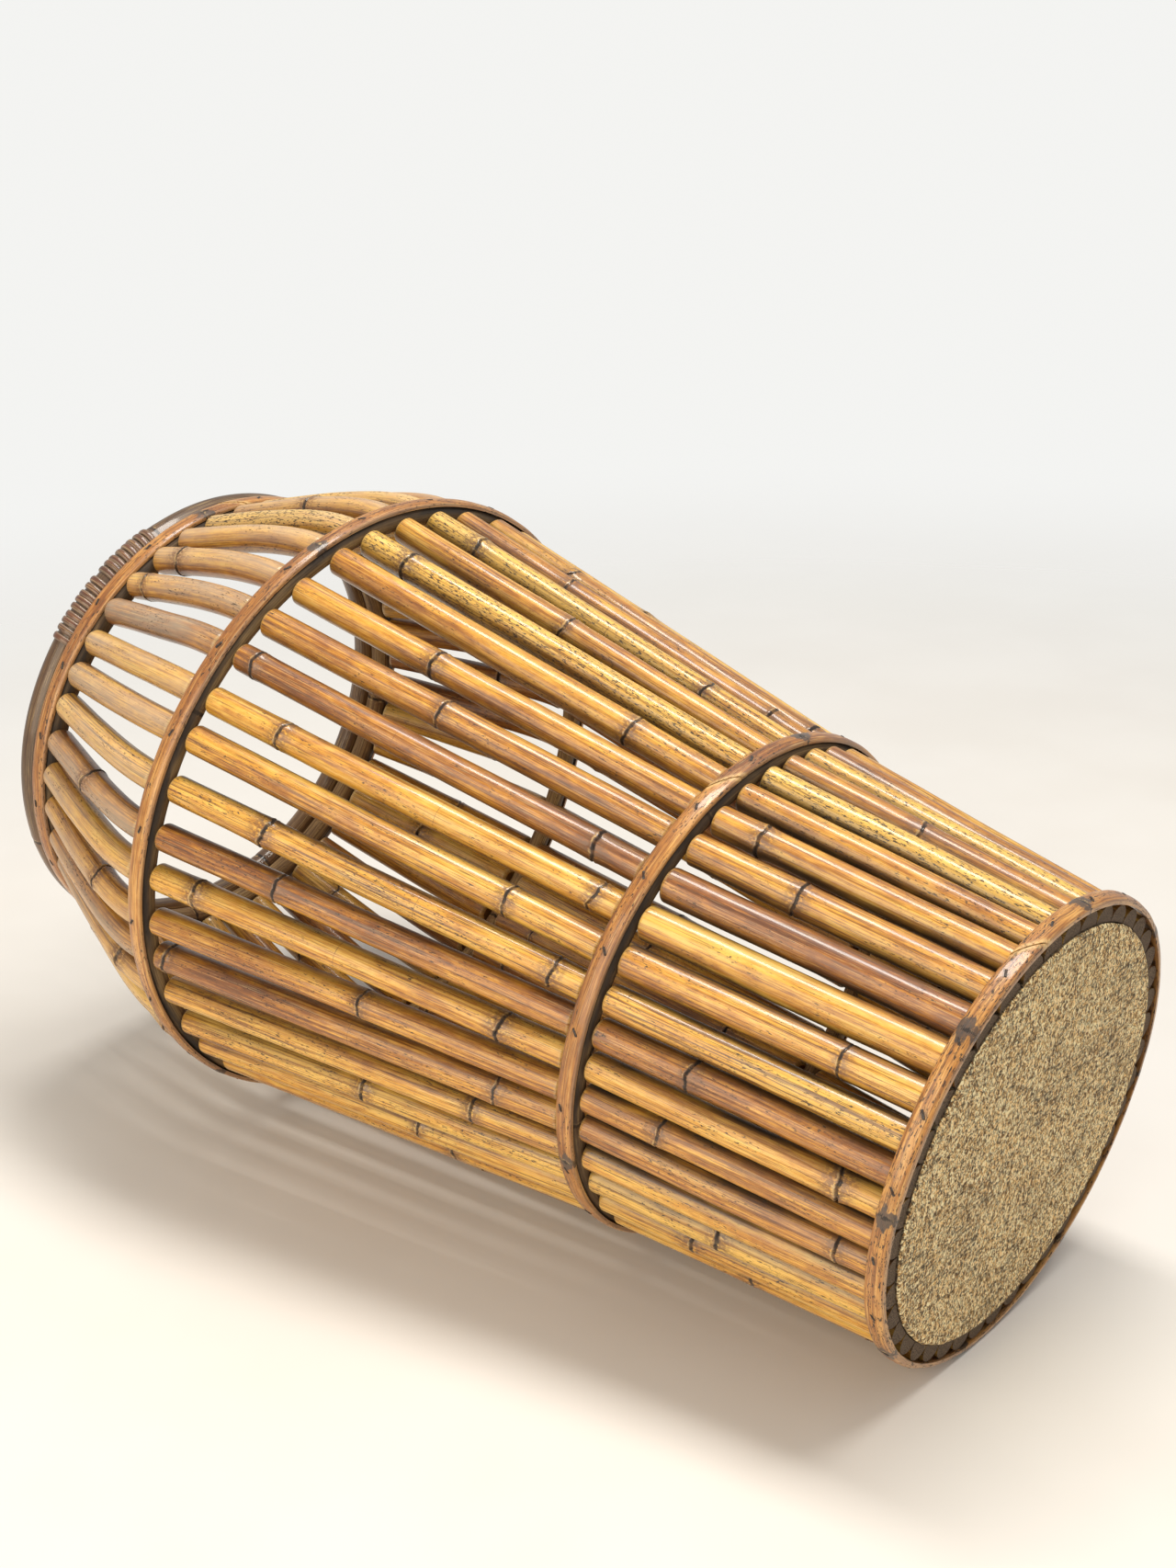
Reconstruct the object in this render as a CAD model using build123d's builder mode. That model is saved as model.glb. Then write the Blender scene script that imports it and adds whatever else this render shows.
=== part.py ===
# Vase-shaped stand of bent and straight rattan poles, for umbrellas and walking sticks.
# Millimetres, +Z up.  The origin is the centre of the underside of the base board,
# so the stand stands on Z = 0 with its mouth at the top.
import os
from math import asin, cos, degrees, exp, radians, sin

from build123d import *

os.makedirs("parts", exist_ok=True)

# ---------------------------------------------------------------- driving dimensions
BOARD_R = 95.0            # round chipboard base
BOARD_T = 12.0
POLE_FOOT_Z = 1.5         # pole ends stop this far above the floor

POLE_COUNT = 42
FIRST_ANGLE = 3.8         # degrees, angle of pole_01
POLE_D = 13.4             # mean pole diameter
POLE_D_SPREAD = 0.45      # thickest and thinnest differ from the mean by this much
FOOT_SPREAD = 0.25        # the lower lengths are more even, they stand close together
THICK_MORE = 1.9          # some thicker canes among the lower lengths
THICK_AT = 222.0          # degrees, the thickest stand here
THICK_REACH = 16.0

FOOT_TURN = 2.0           # degrees, the feet stand turned on from the tops by this much
FOOT_TURN_MORE = 6.5      # and by this much more where the turn is greatest
TURN_FROM = 200.0         # degrees, the turn grows from here
TURN_GROWS = 45.0         # over this many degrees, and dies away over the rest
WAIST_DRIFT = 1.4         # degrees, slow swing of the spacing at the waist

BASE_POLE_R = 95.7        # radius of the circle of pole centres at the floor
WAIST_Z = 150.0
WAIST_POLE_R = 111.2
SHOULDER_Z = 379.0
SHOULDER_POLE_R = 147.0
RIM_Z = 492.5
RIM_POLE_R = 113.8

RING_D = 9.6              # round cane rings at the waist and shoulder, between the pole ends
RING_OUT = 1.75           # their centres sit this far outside the pole centres
RIM_RING_D = 11.5         # thicker ring under the mouth rod
RIM_RING_OUT = 0.8
RIM_ROD_D = 13.5          # round rod that closes the mouth

HOOP_W = 8.2              # half-round cane hoops over the rings
HOOP_T = 2.9
BASE_HOOP_W = 8.4         # heavier half-round hoop round the foot
BASE_HOOP_T = 3.4
BASE_HOOP_Z = 0.3

END_ROUND = 1.8           # rounding of the pole ends
NECK_END_BEVEL = 1.7      # the bent lengths are bevelled instead
CLEAR = 0.05              # clearance between pieces that touch

BINDING_START = 214.8     # degrees, arc of the rod that is bound with split cane
BINDING_END = 248.6
BINDING_GAP = 232.8       # the turns part here
BINDING_TURNS = 17
BINDING_T = 1.25
TURN_W = 3.4
TURN_LEAN = 4.8           # degrees

STAPLE_L = 3.6
STAPLE_W = 1.1
STAPLE_DEPTH = 2.2

SCARF_ANGLE = 30.0        # degrees between a scarf cut and the run of the hoop
SCARF_GAP = 0.35

# ---------------------------------------------------------------- derived dimensions
PITCH = 360.0 / POLE_COUNT
RING_R = RING_D / 2.0
RIM_RING_THICK_R = RIM_RING_D / 2.0
ROD_R = RIM_ROD_D / 2.0
BUTT = RING_R + CLEAR
LEANING_BUTT = BUTT + 0.5    # a leaning end face needs a little more room
RIM_HOOP_Z = RIM_Z + 0.9
ROD_Z = RIM_Z + RIM_RING_THICK_R + ROD_R + CLEAR
ROD_CENTRE_R = RIM_POLE_R + RIM_RING_OUT
WAIST_RING_R = WAIST_POLE_R + RING_OUT
SHOULDER_RING_R = SHOULDER_POLE_R + RING_OUT
RIM_RING_R = RIM_POLE_R + RIM_RING_OUT
LOWER_SLOPE = (WAIST_POLE_R - BASE_POLE_R) / WAIST_Z
MIDDLE_SLOPE = (SHOULDER_POLE_R - WAIST_POLE_R) / (SHOULDER_Z - WAIST_Z)


def polar(radius, angle, z):
    """Point at a radius, an angle in degrees and a height."""
    return Vector(radius * cos(radians(angle)), radius * sin(radians(angle)), z)


def wander(number, kind):
    """Repeatable irregularity of hand work, between -1 and 1."""
    return 0.6 * sin(number * 2.399 + kind * 1.7) + 0.4 * sin(number * 5.113 + kind * 4.1)


def pole_diameter(number, kind):
    return POLE_D + POLE_D_SPREAD * wander(number, kind)


def even_angle(number):
    """Place of a pole line if all were evenly spaced."""
    return FIRST_ANGLE + PITCH * (number - 1)


def lower_diameter(number):
    thick = exp(-(((even_angle(number) - THICK_AT) / THICK_REACH) ** 2))
    return POLE_D + FOOT_SPREAD * wander(number, 5) + THICK_MORE * thick


def foot_angle(number):
    """The lower lengths lean sideways, most where the turn of the feet is greatest."""
    past = (even_angle(number) - TURN_FROM) % 360.0
    if past < TURN_GROWS:
        share = past / TURN_GROWS
    else:
        share = (360.0 - past) / (360.0 - TURN_GROWS)
    return even_angle(number) + FOOT_TURN + FOOT_TURN_MORE * share


def waist_angle(number):
    swing = 1.0 - cos(radians(4.0 * (even_angle(number) - 205.0)))
    return even_angle(number) + WAIST_DRIFT * swing + 0.25 * wander(number, 2)


def shoulder_angle(number):
    return even_angle(number) + 0.85 * wander(number, 3)


def rim_angle(number):
    return even_angle(number) + 0.45 * wander(number, 4)


def lower_radius(z):
    return BASE_POLE_R + LOWER_SLOPE * z


def middle_radius(z):
    return WAIST_POLE_R + MIDDLE_SLOPE * (z - WAIST_Z)


# ---------------------------------------------------------------- pole lengths
def lower_length(number):
    """Straight length from the base board to the waist ring."""
    # all bear on the same hoop, so a thicker cane stands further in
    inset = 0.5 * (lower_diameter(number) - POLE_D)
    start = polar(lower_radius(-8.0) - inset, foot_angle(number), -8.0)
    top_z = WAIST_Z - LEANING_BUTT
    end = polar(lower_radius(top_z) - inset, waist_angle(number), top_z)
    run = end - start
    with BuildPart(Plane(origin=start, z_dir=run)) as length:
        Cylinder(
            lower_diameter(number) / 2.0,
            run.length,
            align=(Align.CENTER, Align.CENTER, Align.MIN),
        )
        fillet(length.edges().sort_by(Axis.Z)[-1], END_ROUND)
    with BuildPart() as footed:
        add(length.part)
        # the foot is sawn level, and the inner half is rebated for the board
        with Locations((0, 0, POLE_FOOT_Z)):
            Box(
                400,
                400,
                40,
                align=(Align.CENTER, Align.CENTER, Align.MAX),
                mode=Mode.SUBTRACT,
            )
        Cylinder(
            BOARD_R + CLEAR,
            BOARD_T + CLEAR,
            align=(Align.CENTER, Align.CENTER, Align.MIN),
            mode=Mode.SUBTRACT,
        )
    return footed.part


def middle_length(number):
    """Straight length from the waist ring to the shoulder ring."""
    low_z = WAIST_Z + LEANING_BUTT
    high_z = SHOULDER_Z - LEANING_BUTT
    start = polar(middle_radius(low_z), waist_angle(number), low_z)
    end = polar(middle_radius(high_z), shoulder_angle(number), high_z)
    run = end - start
    with BuildPart(Plane(origin=start, z_dir=run)) as length:
        Cylinder(
            pole_diameter(number, 6) / 2.0,
            run.length,
            align=(Align.CENTER, Align.CENTER, Align.MIN),
        )
        ends = length.edges().filter_by(GeomType.CIRCLE)
        fillet(ends, END_ROUND)
    return length.part


def neck_length(number):
    """Steam-bent length from the shoulder ring to the rim ring."""
    low_z = SHOULDER_Z + LEANING_BUTT
    high_z = RIM_Z - RIM_RING_THICK_R - CLEAR - 0.7
    with BuildPart() as length:
        with BuildLine(Plane.XZ) as run:
            Bezier(
                (SHOULDER_POLE_R + 0.5, low_z),
                (SHOULDER_POLE_R + 2.2, low_z + 19.0),
                (RIM_POLE_R + 20.0, high_z - 43.0),
                (RIM_POLE_R + 2.6, high_z),
            )
        with BuildSketch(Plane(origin=run.line @ 0, z_dir=run.line % 0)):
            Circle(pole_diameter(number, 7) / 2.0)
        sweep(path=run.line)
        low_face = length.faces().filter_by(GeomType.PLANE).sort_by(Axis.Z)[0]
        high_face = length.faces().filter_by(GeomType.PLANE).sort_by(Axis.Z)[-1]
        chamfer(low_face.edges() + high_face.edges(), NECK_END_BEVEL)
    # the bent length leans a little sideways to reach its own place on the rim
    drift = RIM_POLE_R * radians(rim_angle(number) - shoulder_angle(number))
    lean = degrees(asin(drift / (high_z - low_z)))
    pivot = Location((SHOULDER_POLE_R, 0, low_z))
    around = Location((0, 0, 0), (0, 0, shoulder_angle(number)))
    leaned = pivot * Location((0, 0, 0), (-lean, 0, 0)) * pivot.inverse()
    return length.part.moved(around * leaned)


# ---------------------------------------------------------------- rings and hoops
def round_ring(centre_radius, z, diameter):
    """Closed round cane ring."""
    with BuildPart() as ring:
        with BuildSketch(Plane.XZ):
            with Locations((centre_radius, z)):
                Circle(diameter / 2.0)
        revolve(axis=Axis.Z)
    return ring.part


def half_round_hoop(inner_low, inner_high, low_z, width, thickness):
    """Half-round strip, flat side inward, from the low edge to the high edge."""
    lean = (inner_high - inner_low) / width
    with BuildPart() as hoop:
        with BuildSketch(Plane.XZ):
            with BuildLine():
                low = (inner_low, low_z)
                high = (inner_high, low_z + width)
                low_side = (inner_low + 0.35 * thickness, low_z - 0.0)
                high_side = (inner_high + 0.35 * thickness, low_z + width)
                crown = (
                    0.5 * (inner_low + inner_high) + thickness,
                    low_z + 0.5 * width - lean * thickness,
                )
                Line(low, low_side)
                Spline(
                    low_side,
                    crown,
                    high_side,
                    tangents=((1.0, 0.35), (-1.0, 0.35)),
                    tangent_scalars=(0.8, 0.8),
                )
                Line(high_side, high)
                Line(high, low)
            make_face()
        revolve(axis=Axis.Z)
    return hoop.part


def scarf_cutter(radius, angle, z, width):
    """Thin slanting slab that parts a hoop where its tapered ends overlap."""
    centre = polar(radius, angle, z)
    outward = polar(1.0, angle, 0.0)
    face = Plane(origin=centre, x_dir=(0, 0, 1), z_dir=outward)
    slab_length = 1.4 * width / sin(radians(SCARF_ANGLE))
    with BuildPart(face) as cutter:
        with Locations(Rotation(0, 0, 90.0 - SCARF_ANGLE)):
            Box(slab_length, SCARF_GAP, 12.0)
    return cutter.part


def staple_bars(radius, z, sunk, lean):
    """Crowns of the staples that hold a hoop to every second pole."""
    places = []
    for number in range(1, POLE_COUNT + 1, 2):
        angle = even_angle(number) + 0.6 * wander(number, 9)
        height = z + 0.7 * wander(number, 8)
        centre = polar(radius - sunk, angle, height)
        face = Plane(origin=centre, x_dir=(0, 0, 1), z_dir=polar(1.0, angle, 0.0))
        places.append(face.location * Rotation(0, 0, lean + 18.0 * wander(number, 10)))
    with BuildPart() as bars:
        with Locations(*places):
            Box(
                STAPLE_W,
                STAPLE_L,
                STAPLE_DEPTH,
                align=(Align.CENTER, Align.CENTER, Align.MAX),
            )
    return bars.part


def fitted_hoop(inner_low, inner_high, z, width, thickness, scarf_angle, bars):
    """Half-round hoop with its scarf joint cut and its staple slots opened."""
    crown_r = 0.5 * (inner_low + inner_high) + thickness
    with BuildPart() as hoop:
        add(half_round_hoop(inner_low, inner_high, z, width, thickness))
        add(
            scarf_cutter(crown_r, scarf_angle, z + 0.5 * width, width),
            mode=Mode.SUBTRACT,
        )
        add(bars, mode=Mode.SUBTRACT)
    return hoop.part


def binding_turns():
    """Separate turns of split cane round the joint in the mouth rod."""
    inner = ROD_R + 0.2
    arc = (BINDING_END - BINDING_START) / BINDING_TURNS
    with BuildPart() as turn:
        with BuildSketch(Plane.XY.offset(ROD_Z)):
            with Locations((ROD_CENTRE_R + inner + 0.5 * BINDING_T, 0)):
                RectangleRounded(BINDING_T, TURN_W, 0.5)
        revolve(axis=Axis((ROD_CENTRE_R, 0, ROD_Z), (0, 1, 0)))
    centre = Location((ROD_CENTRE_R, 0, ROD_Z))
    leaned = turn.part.moved(centre * Rotation(TURN_LEAN, 0, 0) * centre.inverse())
    with BuildPart() as turns:
        for number in range(BINDING_TURNS):
            angle = BINDING_START + arc * (number + 0.5)
            if angle > BINDING_GAP:
                angle = angle + 0.35
            else:
                angle = angle - 0.35
            add(leaned.moved(Rotation(0, 0, angle)))
    return turns.part


# ---------------------------------------------------------------- base board
with BuildPart() as base_board:
    Cylinder(BOARD_R, BOARD_T, align=(Align.CENTER, Align.CENTER, Align.MIN))
    chamfer(base_board.edges().filter_by(GeomType.CIRCLE), 0.8)

# ---------------------------------------------------------------- rings in line with the poles
with BuildPart() as waist_ring:
    add(round_ring(WAIST_RING_R, WAIST_Z, RING_D))

with BuildPart() as shoulder_ring:
    add(round_ring(SHOULDER_RING_R, SHOULDER_Z, RING_D))

with BuildPart() as rim_ring:
    add(round_ring(RIM_RING_R, RIM_Z, RIM_RING_D))
    # shallow seat that lets the cane binding pass under the mouth rod
    seat = Plane(origin=(0, 0, 0), x_dir=polar(1, BINDING_START - 0.8, 0), z_dir=(
        cos(radians(BINDING_START - 90.8)), sin(radians(BINDING_START - 90.8)), 0))
    with BuildSketch(seat):
        with Locations((ROD_CENTRE_R, ROD_Z)):
            Circle(ROD_R + BINDING_T + 0.3)
    revolve(
        axis=Axis.Z,
        revolution_arc=BINDING_END - BINDING_START + 1.6,
        mode=Mode.SUBTRACT,
    )

with BuildPart() as rim_rod:
    add(round_ring(ROD_CENTRE_R, ROD_Z, RIM_ROD_D))
    # the ends of the rod meet in a slanting cut hidden by the binding
    joint = polar(ROD_CENTRE_R, BINDING_GAP, ROD_Z)
    with Locations(Location(joint, (0, 0, BINDING_GAP - 25.0))):
        Box(60.0, SCARF_GAP, 30.0, mode=Mode.SUBTRACT)

# ---------------------------------------------------------------- hoops and staples
BASE_IN_LOW = BASE_POLE_R + LOWER_SLOPE * BASE_HOOP_Z + 0.5 * POLE_D + POLE_D_SPREAD
BASE_IN_HIGH = BASE_IN_LOW + LOWER_SLOPE * BASE_HOOP_W
WAIST_IN = WAIST_RING_R + RING_R + CLEAR
SHOULDER_IN = SHOULDER_RING_R + RING_R + CLEAR
RIM_IN = RIM_RING_R + RIM_RING_THICK_R + CLEAR

base_bars = staple_bars(
    0.5 * (BASE_IN_LOW + BASE_IN_HIGH) + BASE_HOOP_T,
    BASE_HOOP_Z + 0.5 * BASE_HOOP_W,
    0.25,
    30.0,
)
waist_bars = staple_bars(WAIST_IN + HOOP_T, WAIST_Z, 0.2, 35.0)
shoulder_bars = staple_bars(SHOULDER_IN + HOOP_T, SHOULDER_Z, 0.2, -20.0)
rim_bars = staple_bars(RIM_IN + HOOP_T, RIM_HOOP_Z, 0.2, 15.0)

with BuildPart() as base_hoop:
    add(fitted_hoop(BASE_IN_LOW, BASE_IN_HIGH, BASE_HOOP_Z, BASE_HOOP_W, BASE_HOOP_T,
                    252.4, base_bars))

with BuildPart() as waist_hoop:
    add(fitted_hoop(WAIST_IN, WAIST_IN, WAIST_Z - 0.5 * HOOP_W, HOOP_W, HOOP_T,
                    252.4, waist_bars))

with BuildPart() as shoulder_hoop:
    add(fitted_hoop(SHOULDER_IN, SHOULDER_IN, SHOULDER_Z - 0.5 * HOOP_W, HOOP_W, HOOP_T,
                    63.8, shoulder_bars))

with BuildPart() as rim_hoop:
    add(fitted_hoop(RIM_IN, RIM_IN, RIM_HOOP_Z - 0.5 * HOOP_W, HOOP_W, HOOP_T,
                    269.5, rim_bars))

with BuildPart() as base_hoop_staples:
    add(base_bars)

with BuildPart() as waist_hoop_staples:
    add(waist_bars)

with BuildPart() as shoulder_hoop_staples:
    add(shoulder_bars)

with BuildPart() as rim_hoop_staples:
    add(rim_bars)

with BuildPart() as rim_binding:
    add(binding_turns())

# ---------------------------------------------------------------- write the pieces
PIECES = {
    "base_board": base_board,
    "base_hoop": base_hoop,
    "base_hoop_staples": base_hoop_staples,
    "waist_ring": waist_ring,
    "waist_hoop": waist_hoop,
    "waist_hoop_staples": waist_hoop_staples,
    "shoulder_ring": shoulder_ring,
    "shoulder_hoop": shoulder_hoop,
    "shoulder_hoop_staples": shoulder_hoop_staples,
    "rim_ring": rim_ring,
    "rim_hoop": rim_hoop,
    "rim_hoop_staples": rim_hoop_staples,
    "rim_rod": rim_rod,
    "rim_binding": rim_binding,
}

for name, piece in PIECES.items():
    piece.part.label = name
    export_step(piece.part, "parts/" + name + ".step")

for number in range(1, POLE_COUNT + 1):
    # three lengths in line, cut from one cane and butted on the rings
    with BuildPart() as pole:
        add(lower_length(number))
        add(middle_length(number))
        add(neck_length(number))
    pole.part.label = "pole_%02d" % number
    export_step(pole.part, "parts/pole_%02d.step" % number)
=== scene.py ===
"""Looks of the rattan umbrella stand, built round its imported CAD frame.

Every piece is modelled here in millimetres and put down in metres, in the row frame.
The dimensions repeat those of the CAD source, which this script can't read.
"""

import math
import random

import bpy
import numpy as np
from mathutils import Matrix, Vector
from mathutils import noise as simplex


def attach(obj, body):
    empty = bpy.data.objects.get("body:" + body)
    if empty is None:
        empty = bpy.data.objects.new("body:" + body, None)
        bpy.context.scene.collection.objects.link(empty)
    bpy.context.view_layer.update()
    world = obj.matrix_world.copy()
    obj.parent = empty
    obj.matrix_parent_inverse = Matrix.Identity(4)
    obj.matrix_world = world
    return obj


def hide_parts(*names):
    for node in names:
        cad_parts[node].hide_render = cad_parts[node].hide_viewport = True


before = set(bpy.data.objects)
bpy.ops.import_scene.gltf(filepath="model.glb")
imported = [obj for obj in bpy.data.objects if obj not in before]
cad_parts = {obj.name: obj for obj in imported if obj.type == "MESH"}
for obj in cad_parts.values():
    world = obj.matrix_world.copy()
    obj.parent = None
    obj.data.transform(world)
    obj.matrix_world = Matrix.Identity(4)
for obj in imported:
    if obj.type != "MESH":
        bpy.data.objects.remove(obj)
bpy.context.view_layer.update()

# ---------------------------------------------------------------- dimensions, mm
MM = 0.001
BOARD_R = 95.0
BOARD_T = 12.0
BOARD_BEVEL = 0.8
POLE_FOOT_Z = 1.5

POLE_COUNT = 42
FIRST_ANGLE = 3.8
POLE_D = 13.4
POLE_D_SPREAD = 0.45
FOOT_SPREAD = 0.25
THICK_MORE = 1.9
THICK_AT = 222.0
THICK_REACH = 16.0
PITCH = 360.0 / POLE_COUNT
# the three lengths of a pole line, by the numbers that the CAD's wander() takes
LOWER = 5
MIDDLE = 6
NECK = 7
FOOT_TURN = 2.0
FOOT_TURN_MORE = 6.5
TURN_FROM = 200.0
TURN_GROWS = 45.0
WAIST_DRIFT = 1.4

BASE_POLE_R = 95.7
WAIST_Z = 150.0
WAIST_POLE_R = 111.2
SHOULDER_Z = 379.0
SHOULDER_POLE_R = 147.0
RIM_Z = 492.5
RIM_POLE_R = 113.8
LOWER_SLOPE = (WAIST_POLE_R - BASE_POLE_R) / WAIST_Z
MIDDLE_SLOPE = (SHOULDER_POLE_R - WAIST_POLE_R) / (SHOULDER_Z - WAIST_Z)

CLEAR = 0.05
RING_R = 4.8
RING_OUT = 1.75
RIM_RING_THICK_R = 5.75
RIM_RING_OUT = 0.8
ROD_R = 6.75
ROD_Z = RIM_Z + RIM_RING_THICK_R + ROD_R + CLEAR
ROD_CENTRE_R = RIM_POLE_R + RIM_RING_OUT
RIM_HOOP_Z = RIM_Z + 0.9
LEANING_BUTT = RING_R + CLEAR + 0.5

HOOP_W = 8.2
HOOP_T = 2.9
BASE_HOOP_W = 8.4
BASE_HOOP_T = 3.4
BASE_HOOP_Z = 0.3
SCARF_ANGLE = 30.0
SCARF_GAP = 0.35
LOWER_SCARF_AT = 252.4    # degrees round the stand, for both the base and the waist hoop
SHOULDER_SCARF_AT = 63.8
RIM_SCARF_AT = 269.5
# the hoops are made this much thinner, so that their swellings stay inside the CAD's box
SWELL_ROOM = 0.3
STAPLE_SUNK = 0.03

END_ROUND = 1.8
NECK_END_ROUND = 1.9

BINDING_START = 214.8
BINDING_END = 248.6
BINDING_GAP = 232.8
BINDING_TURNS = 17
BINDING_T = 1.25
TURN_W = 3.4

STAPLE_L = 3.6
STAPLE_W = 1.1
STAPLE_HALF_T = 0.28


# ---------------------------------------------------------------- shared with the CAD
def polar(radius, angle, z):
    """Point at a radius, an angle in degrees and a height."""
    turn = math.radians(angle)
    return np.array([radius * math.cos(turn), radius * math.sin(turn), z])


def wander(number, kind):
    """The CAD's repeatable irregularity of hand work, between -1 and 1."""
    return 0.6 * math.sin(number * 2.399 + kind * 1.7) + 0.4 * math.sin(
        number * 5.113 + kind * 4.1
    )


def nominal_angle(number):
    return FIRST_ANGLE + PITCH * (number - 1)


def foot_angle(number):
    """The lower lengths lean sideways, most where the turn of the feet is greatest."""
    past = (nominal_angle(number) - TURN_FROM) % 360.0
    if past < TURN_GROWS:
        share = past / TURN_GROWS
    else:
        share = (360.0 - past) / (360.0 - TURN_GROWS)
    return nominal_angle(number) + FOOT_TURN + FOOT_TURN_MORE * share


def waist_angle(number):
    swing = 1.0 - math.cos(math.radians(4.0 * (nominal_angle(number) - 205.0)))
    return nominal_angle(number) + WAIST_DRIFT * swing + 0.25 * wander(number, 2)


def shoulder_angle(number):
    return nominal_angle(number) + 0.85 * wander(number, 3)


def rim_angle(number):
    return nominal_angle(number) + 0.45 * wander(number, 4)


def pole_radius(number, kind):
    """Radius of a lower, middle or neck length."""
    if kind != LOWER:
        return 0.5 * (POLE_D + POLE_D_SPREAD * wander(number, kind))
    thick = math.exp(-(((nominal_angle(number) - THICK_AT) / THICK_REACH) ** 2))
    return 0.5 * (POLE_D + FOOT_SPREAD * wander(number, kind) + THICK_MORE * thick)


def lower_radius(z):
    return BASE_POLE_R + LOWER_SLOPE * z


def middle_radius(z):
    return WAIST_POLE_R + MIDDLE_SLOPE * (z - WAIST_Z)


# ---------------------------------------------------------------- mesh gathering
ATTRIBUTES = ("cane", "marks", "tone", "wear_and_shade")


class Piece:
    """Points, faces and surface attributes of one piece, gathered part by part.

    cane:  place in the straightened cane, which makes the grain follow the bends
    marks: distance to the nearest cane node, to the nearest end, and to a staple
    tone:  warmth, streakiness and greyness
    wear_and_shade: black mottling, pale rubbed skin, painted shade, and darker colour near the ends
    """

    def __init__(self):
        self.points = []
        self.faces = []
        self.attributes = {label: [] for label in ATTRIBUTES}
        self.count = 0

    def add(self, points, faces, cane, marks, tone, wear_and_shade=(0.0, 0.0, 0.0)):
        points = np.asarray(points, float).reshape(-1, 3)
        self.faces.extend(tuple(int(corner) + self.count for corner in face) for face in faces)
        self.points.append(points)
        for label, rows in zip(ATTRIBUTES, (cane, marks, tone, wear_and_shade)):
            rows = np.asarray(rows, float)
            rows = rows if rows.ndim == 1 else rows.reshape(-1, 3)
            self.attributes[label].append(np.broadcast_to(rows, points.shape))
        self.count += len(points)

    def build(self, name, material, nodes, crease=50.0):
        mesh = bpy.data.meshes.new(name)
        points = np.concatenate(self.points) * MM
        mesh.from_pydata(points.tolist(), [], self.faces)
        mesh.validate()
        for label, store in self.attributes.items():
            rows = np.concatenate(store).astype(np.float32)
            layer = mesh.attributes.new(label, "FLOAT_VECTOR", "POINT")
            layer.data.foreach_set("vector", rows.ravel())
        mesh.polygons.foreach_set("use_smooth", [True] * len(mesh.polygons))
        mesh.set_sharp_from_angle(angle=math.radians(crease))
        mesh.materials.append(material)
        piece = bpy.data.objects.new(name, mesh)
        bpy.context.scene.collection.objects.link(piece)
        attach(piece, "root")
        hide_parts(*nodes)
        return piece


def layers(shape, *rows):
    """Several values for each point of a grid, as one array."""
    return np.stack([np.broadcast_to(row, shape) for row in rows], 2)


def unit(vectors):
    return vectors / np.linalg.norm(vectors, axis=1)[:, None]


def turn_between(around, place):
    """Signed turn in radians from a place in degrees, the short way round."""
    return (around - math.radians(place) + math.pi) % (2 * math.pi) - math.pi


def end_faces(rows, sides):
    """The two faces that close an open grid of points at its first and last row."""
    last = (rows - 1) * sides
    return [tuple(reversed(range(sides))), tuple(last + side for side in range(sides))]


def grid_faces(rows, sides, closed_rows=False, closed_sides=True):
    """Quads of a grid of points, row by row."""
    faces = []
    for row in range(rows if closed_rows else rows - 1):
        low = row * sides
        high = ((row + 1) % rows) * sides
        for side in range(sides if closed_sides else sides - 1):
            after = (side + 1) % sides
            faces.append((low + side, low + after, high + after, high + side))
    return faces


# ---------------------------------------------------------------- canes
SIDES = 28
SPACING = 4.0
NODE_STEPS = (0.3, 0.6, 1.0, 1.6, 2.4, 3.6, 5.2, 7.5)
FAR = 200.0

CANE_BOW = 0.25
# relief of a node as (height, reach): swelling, two lips, groove, step in girth
NODE_SWELL = (0.24, 4.6)
NODE_LIPS = (0.12, 0.65)
NODE_LIP_PLACE = 1.0
NODE_GROOVE = (0.50, 0.50)
NODE_STEP = (0.07, 20.0)

# heights for rings of points near a foot, which the board's rebate and top edge need
FOOT_LEVELS = (0.0, 1.0, 3.5, 6.5, 9.5, 10.6, 10.75, 12.0, 14.0)
LEVEL_UP_TO = 26.0
LEVEL_OVER = 12.0

NECK_WORN = 0.55
# painted shade on the flanks of each kind of length, between neighbouring canes
FLANK_SHADE = {LOWER: 1.0, MIDDLE: 0.60, NECK: 0.35}
# darker colour near the ends, and toward the foot of the lower lengths
END_DARKENING = 0.7
END_DARKENING_REACH = 7.0
FOOT_DARKENING = 0.8
FOOT_DARKENING_REACH = 10.0
# share of the rings' painted shade that the mouth rod keeps
ROD_SHADE_SHARE = 0.3
SAWN_ROUGH = 0.12
END_ROUGH = 0.2


def stations(length, nodes, round_low, round_high, extra=()):
    """Places along a cane for its rings of points, close together at nodes and ends."""
    places = list(np.linspace(0, length, max(3, int(length / SPACING))))
    fine = list(extra)
    for reach, end, way in ((round_low, 0.0, 1.0), (round_high, length, -1.0)):
        if reach > 0:
            for turn in np.linspace(0, 0.5 * math.pi, 7):
                fine.append(end + way * reach * (1 - math.cos(turn)))
    for node in nodes:
        fine.append(node)
        for step in NODE_STEPS:
            fine.extend((node - step, node + step))
    fine = sorted(place for place in fine if 0 <= place <= length)
    kept = []
    for place in fine:
        if not kept or place - kept[-1] > 0.12:
            kept.append(place)
    clear = 0.45 * SPACING
    places = [
        place for place in places
        if place in (0.0, length) or all(abs(place - other) > clear for other in kept)
    ]
    merged = sorted(set(places + kept))
    tidy = [merged[0]]
    for place in merged[1:]:
        if place - tidy[-1] > 0.08:
            tidy.append(place)
    tidy[-1] = length
    return np.array(tidy)


def end_profile(distance, reach, radius):
    """Radius left at a distance from a rounded end."""
    if reach <= 0:
        return np.full_like(distance, radius)
    inside = np.clip(reach - distance, 0, reach)
    return radius - reach + np.sqrt(np.maximum(reach**2 - inside**2, 0))


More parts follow.
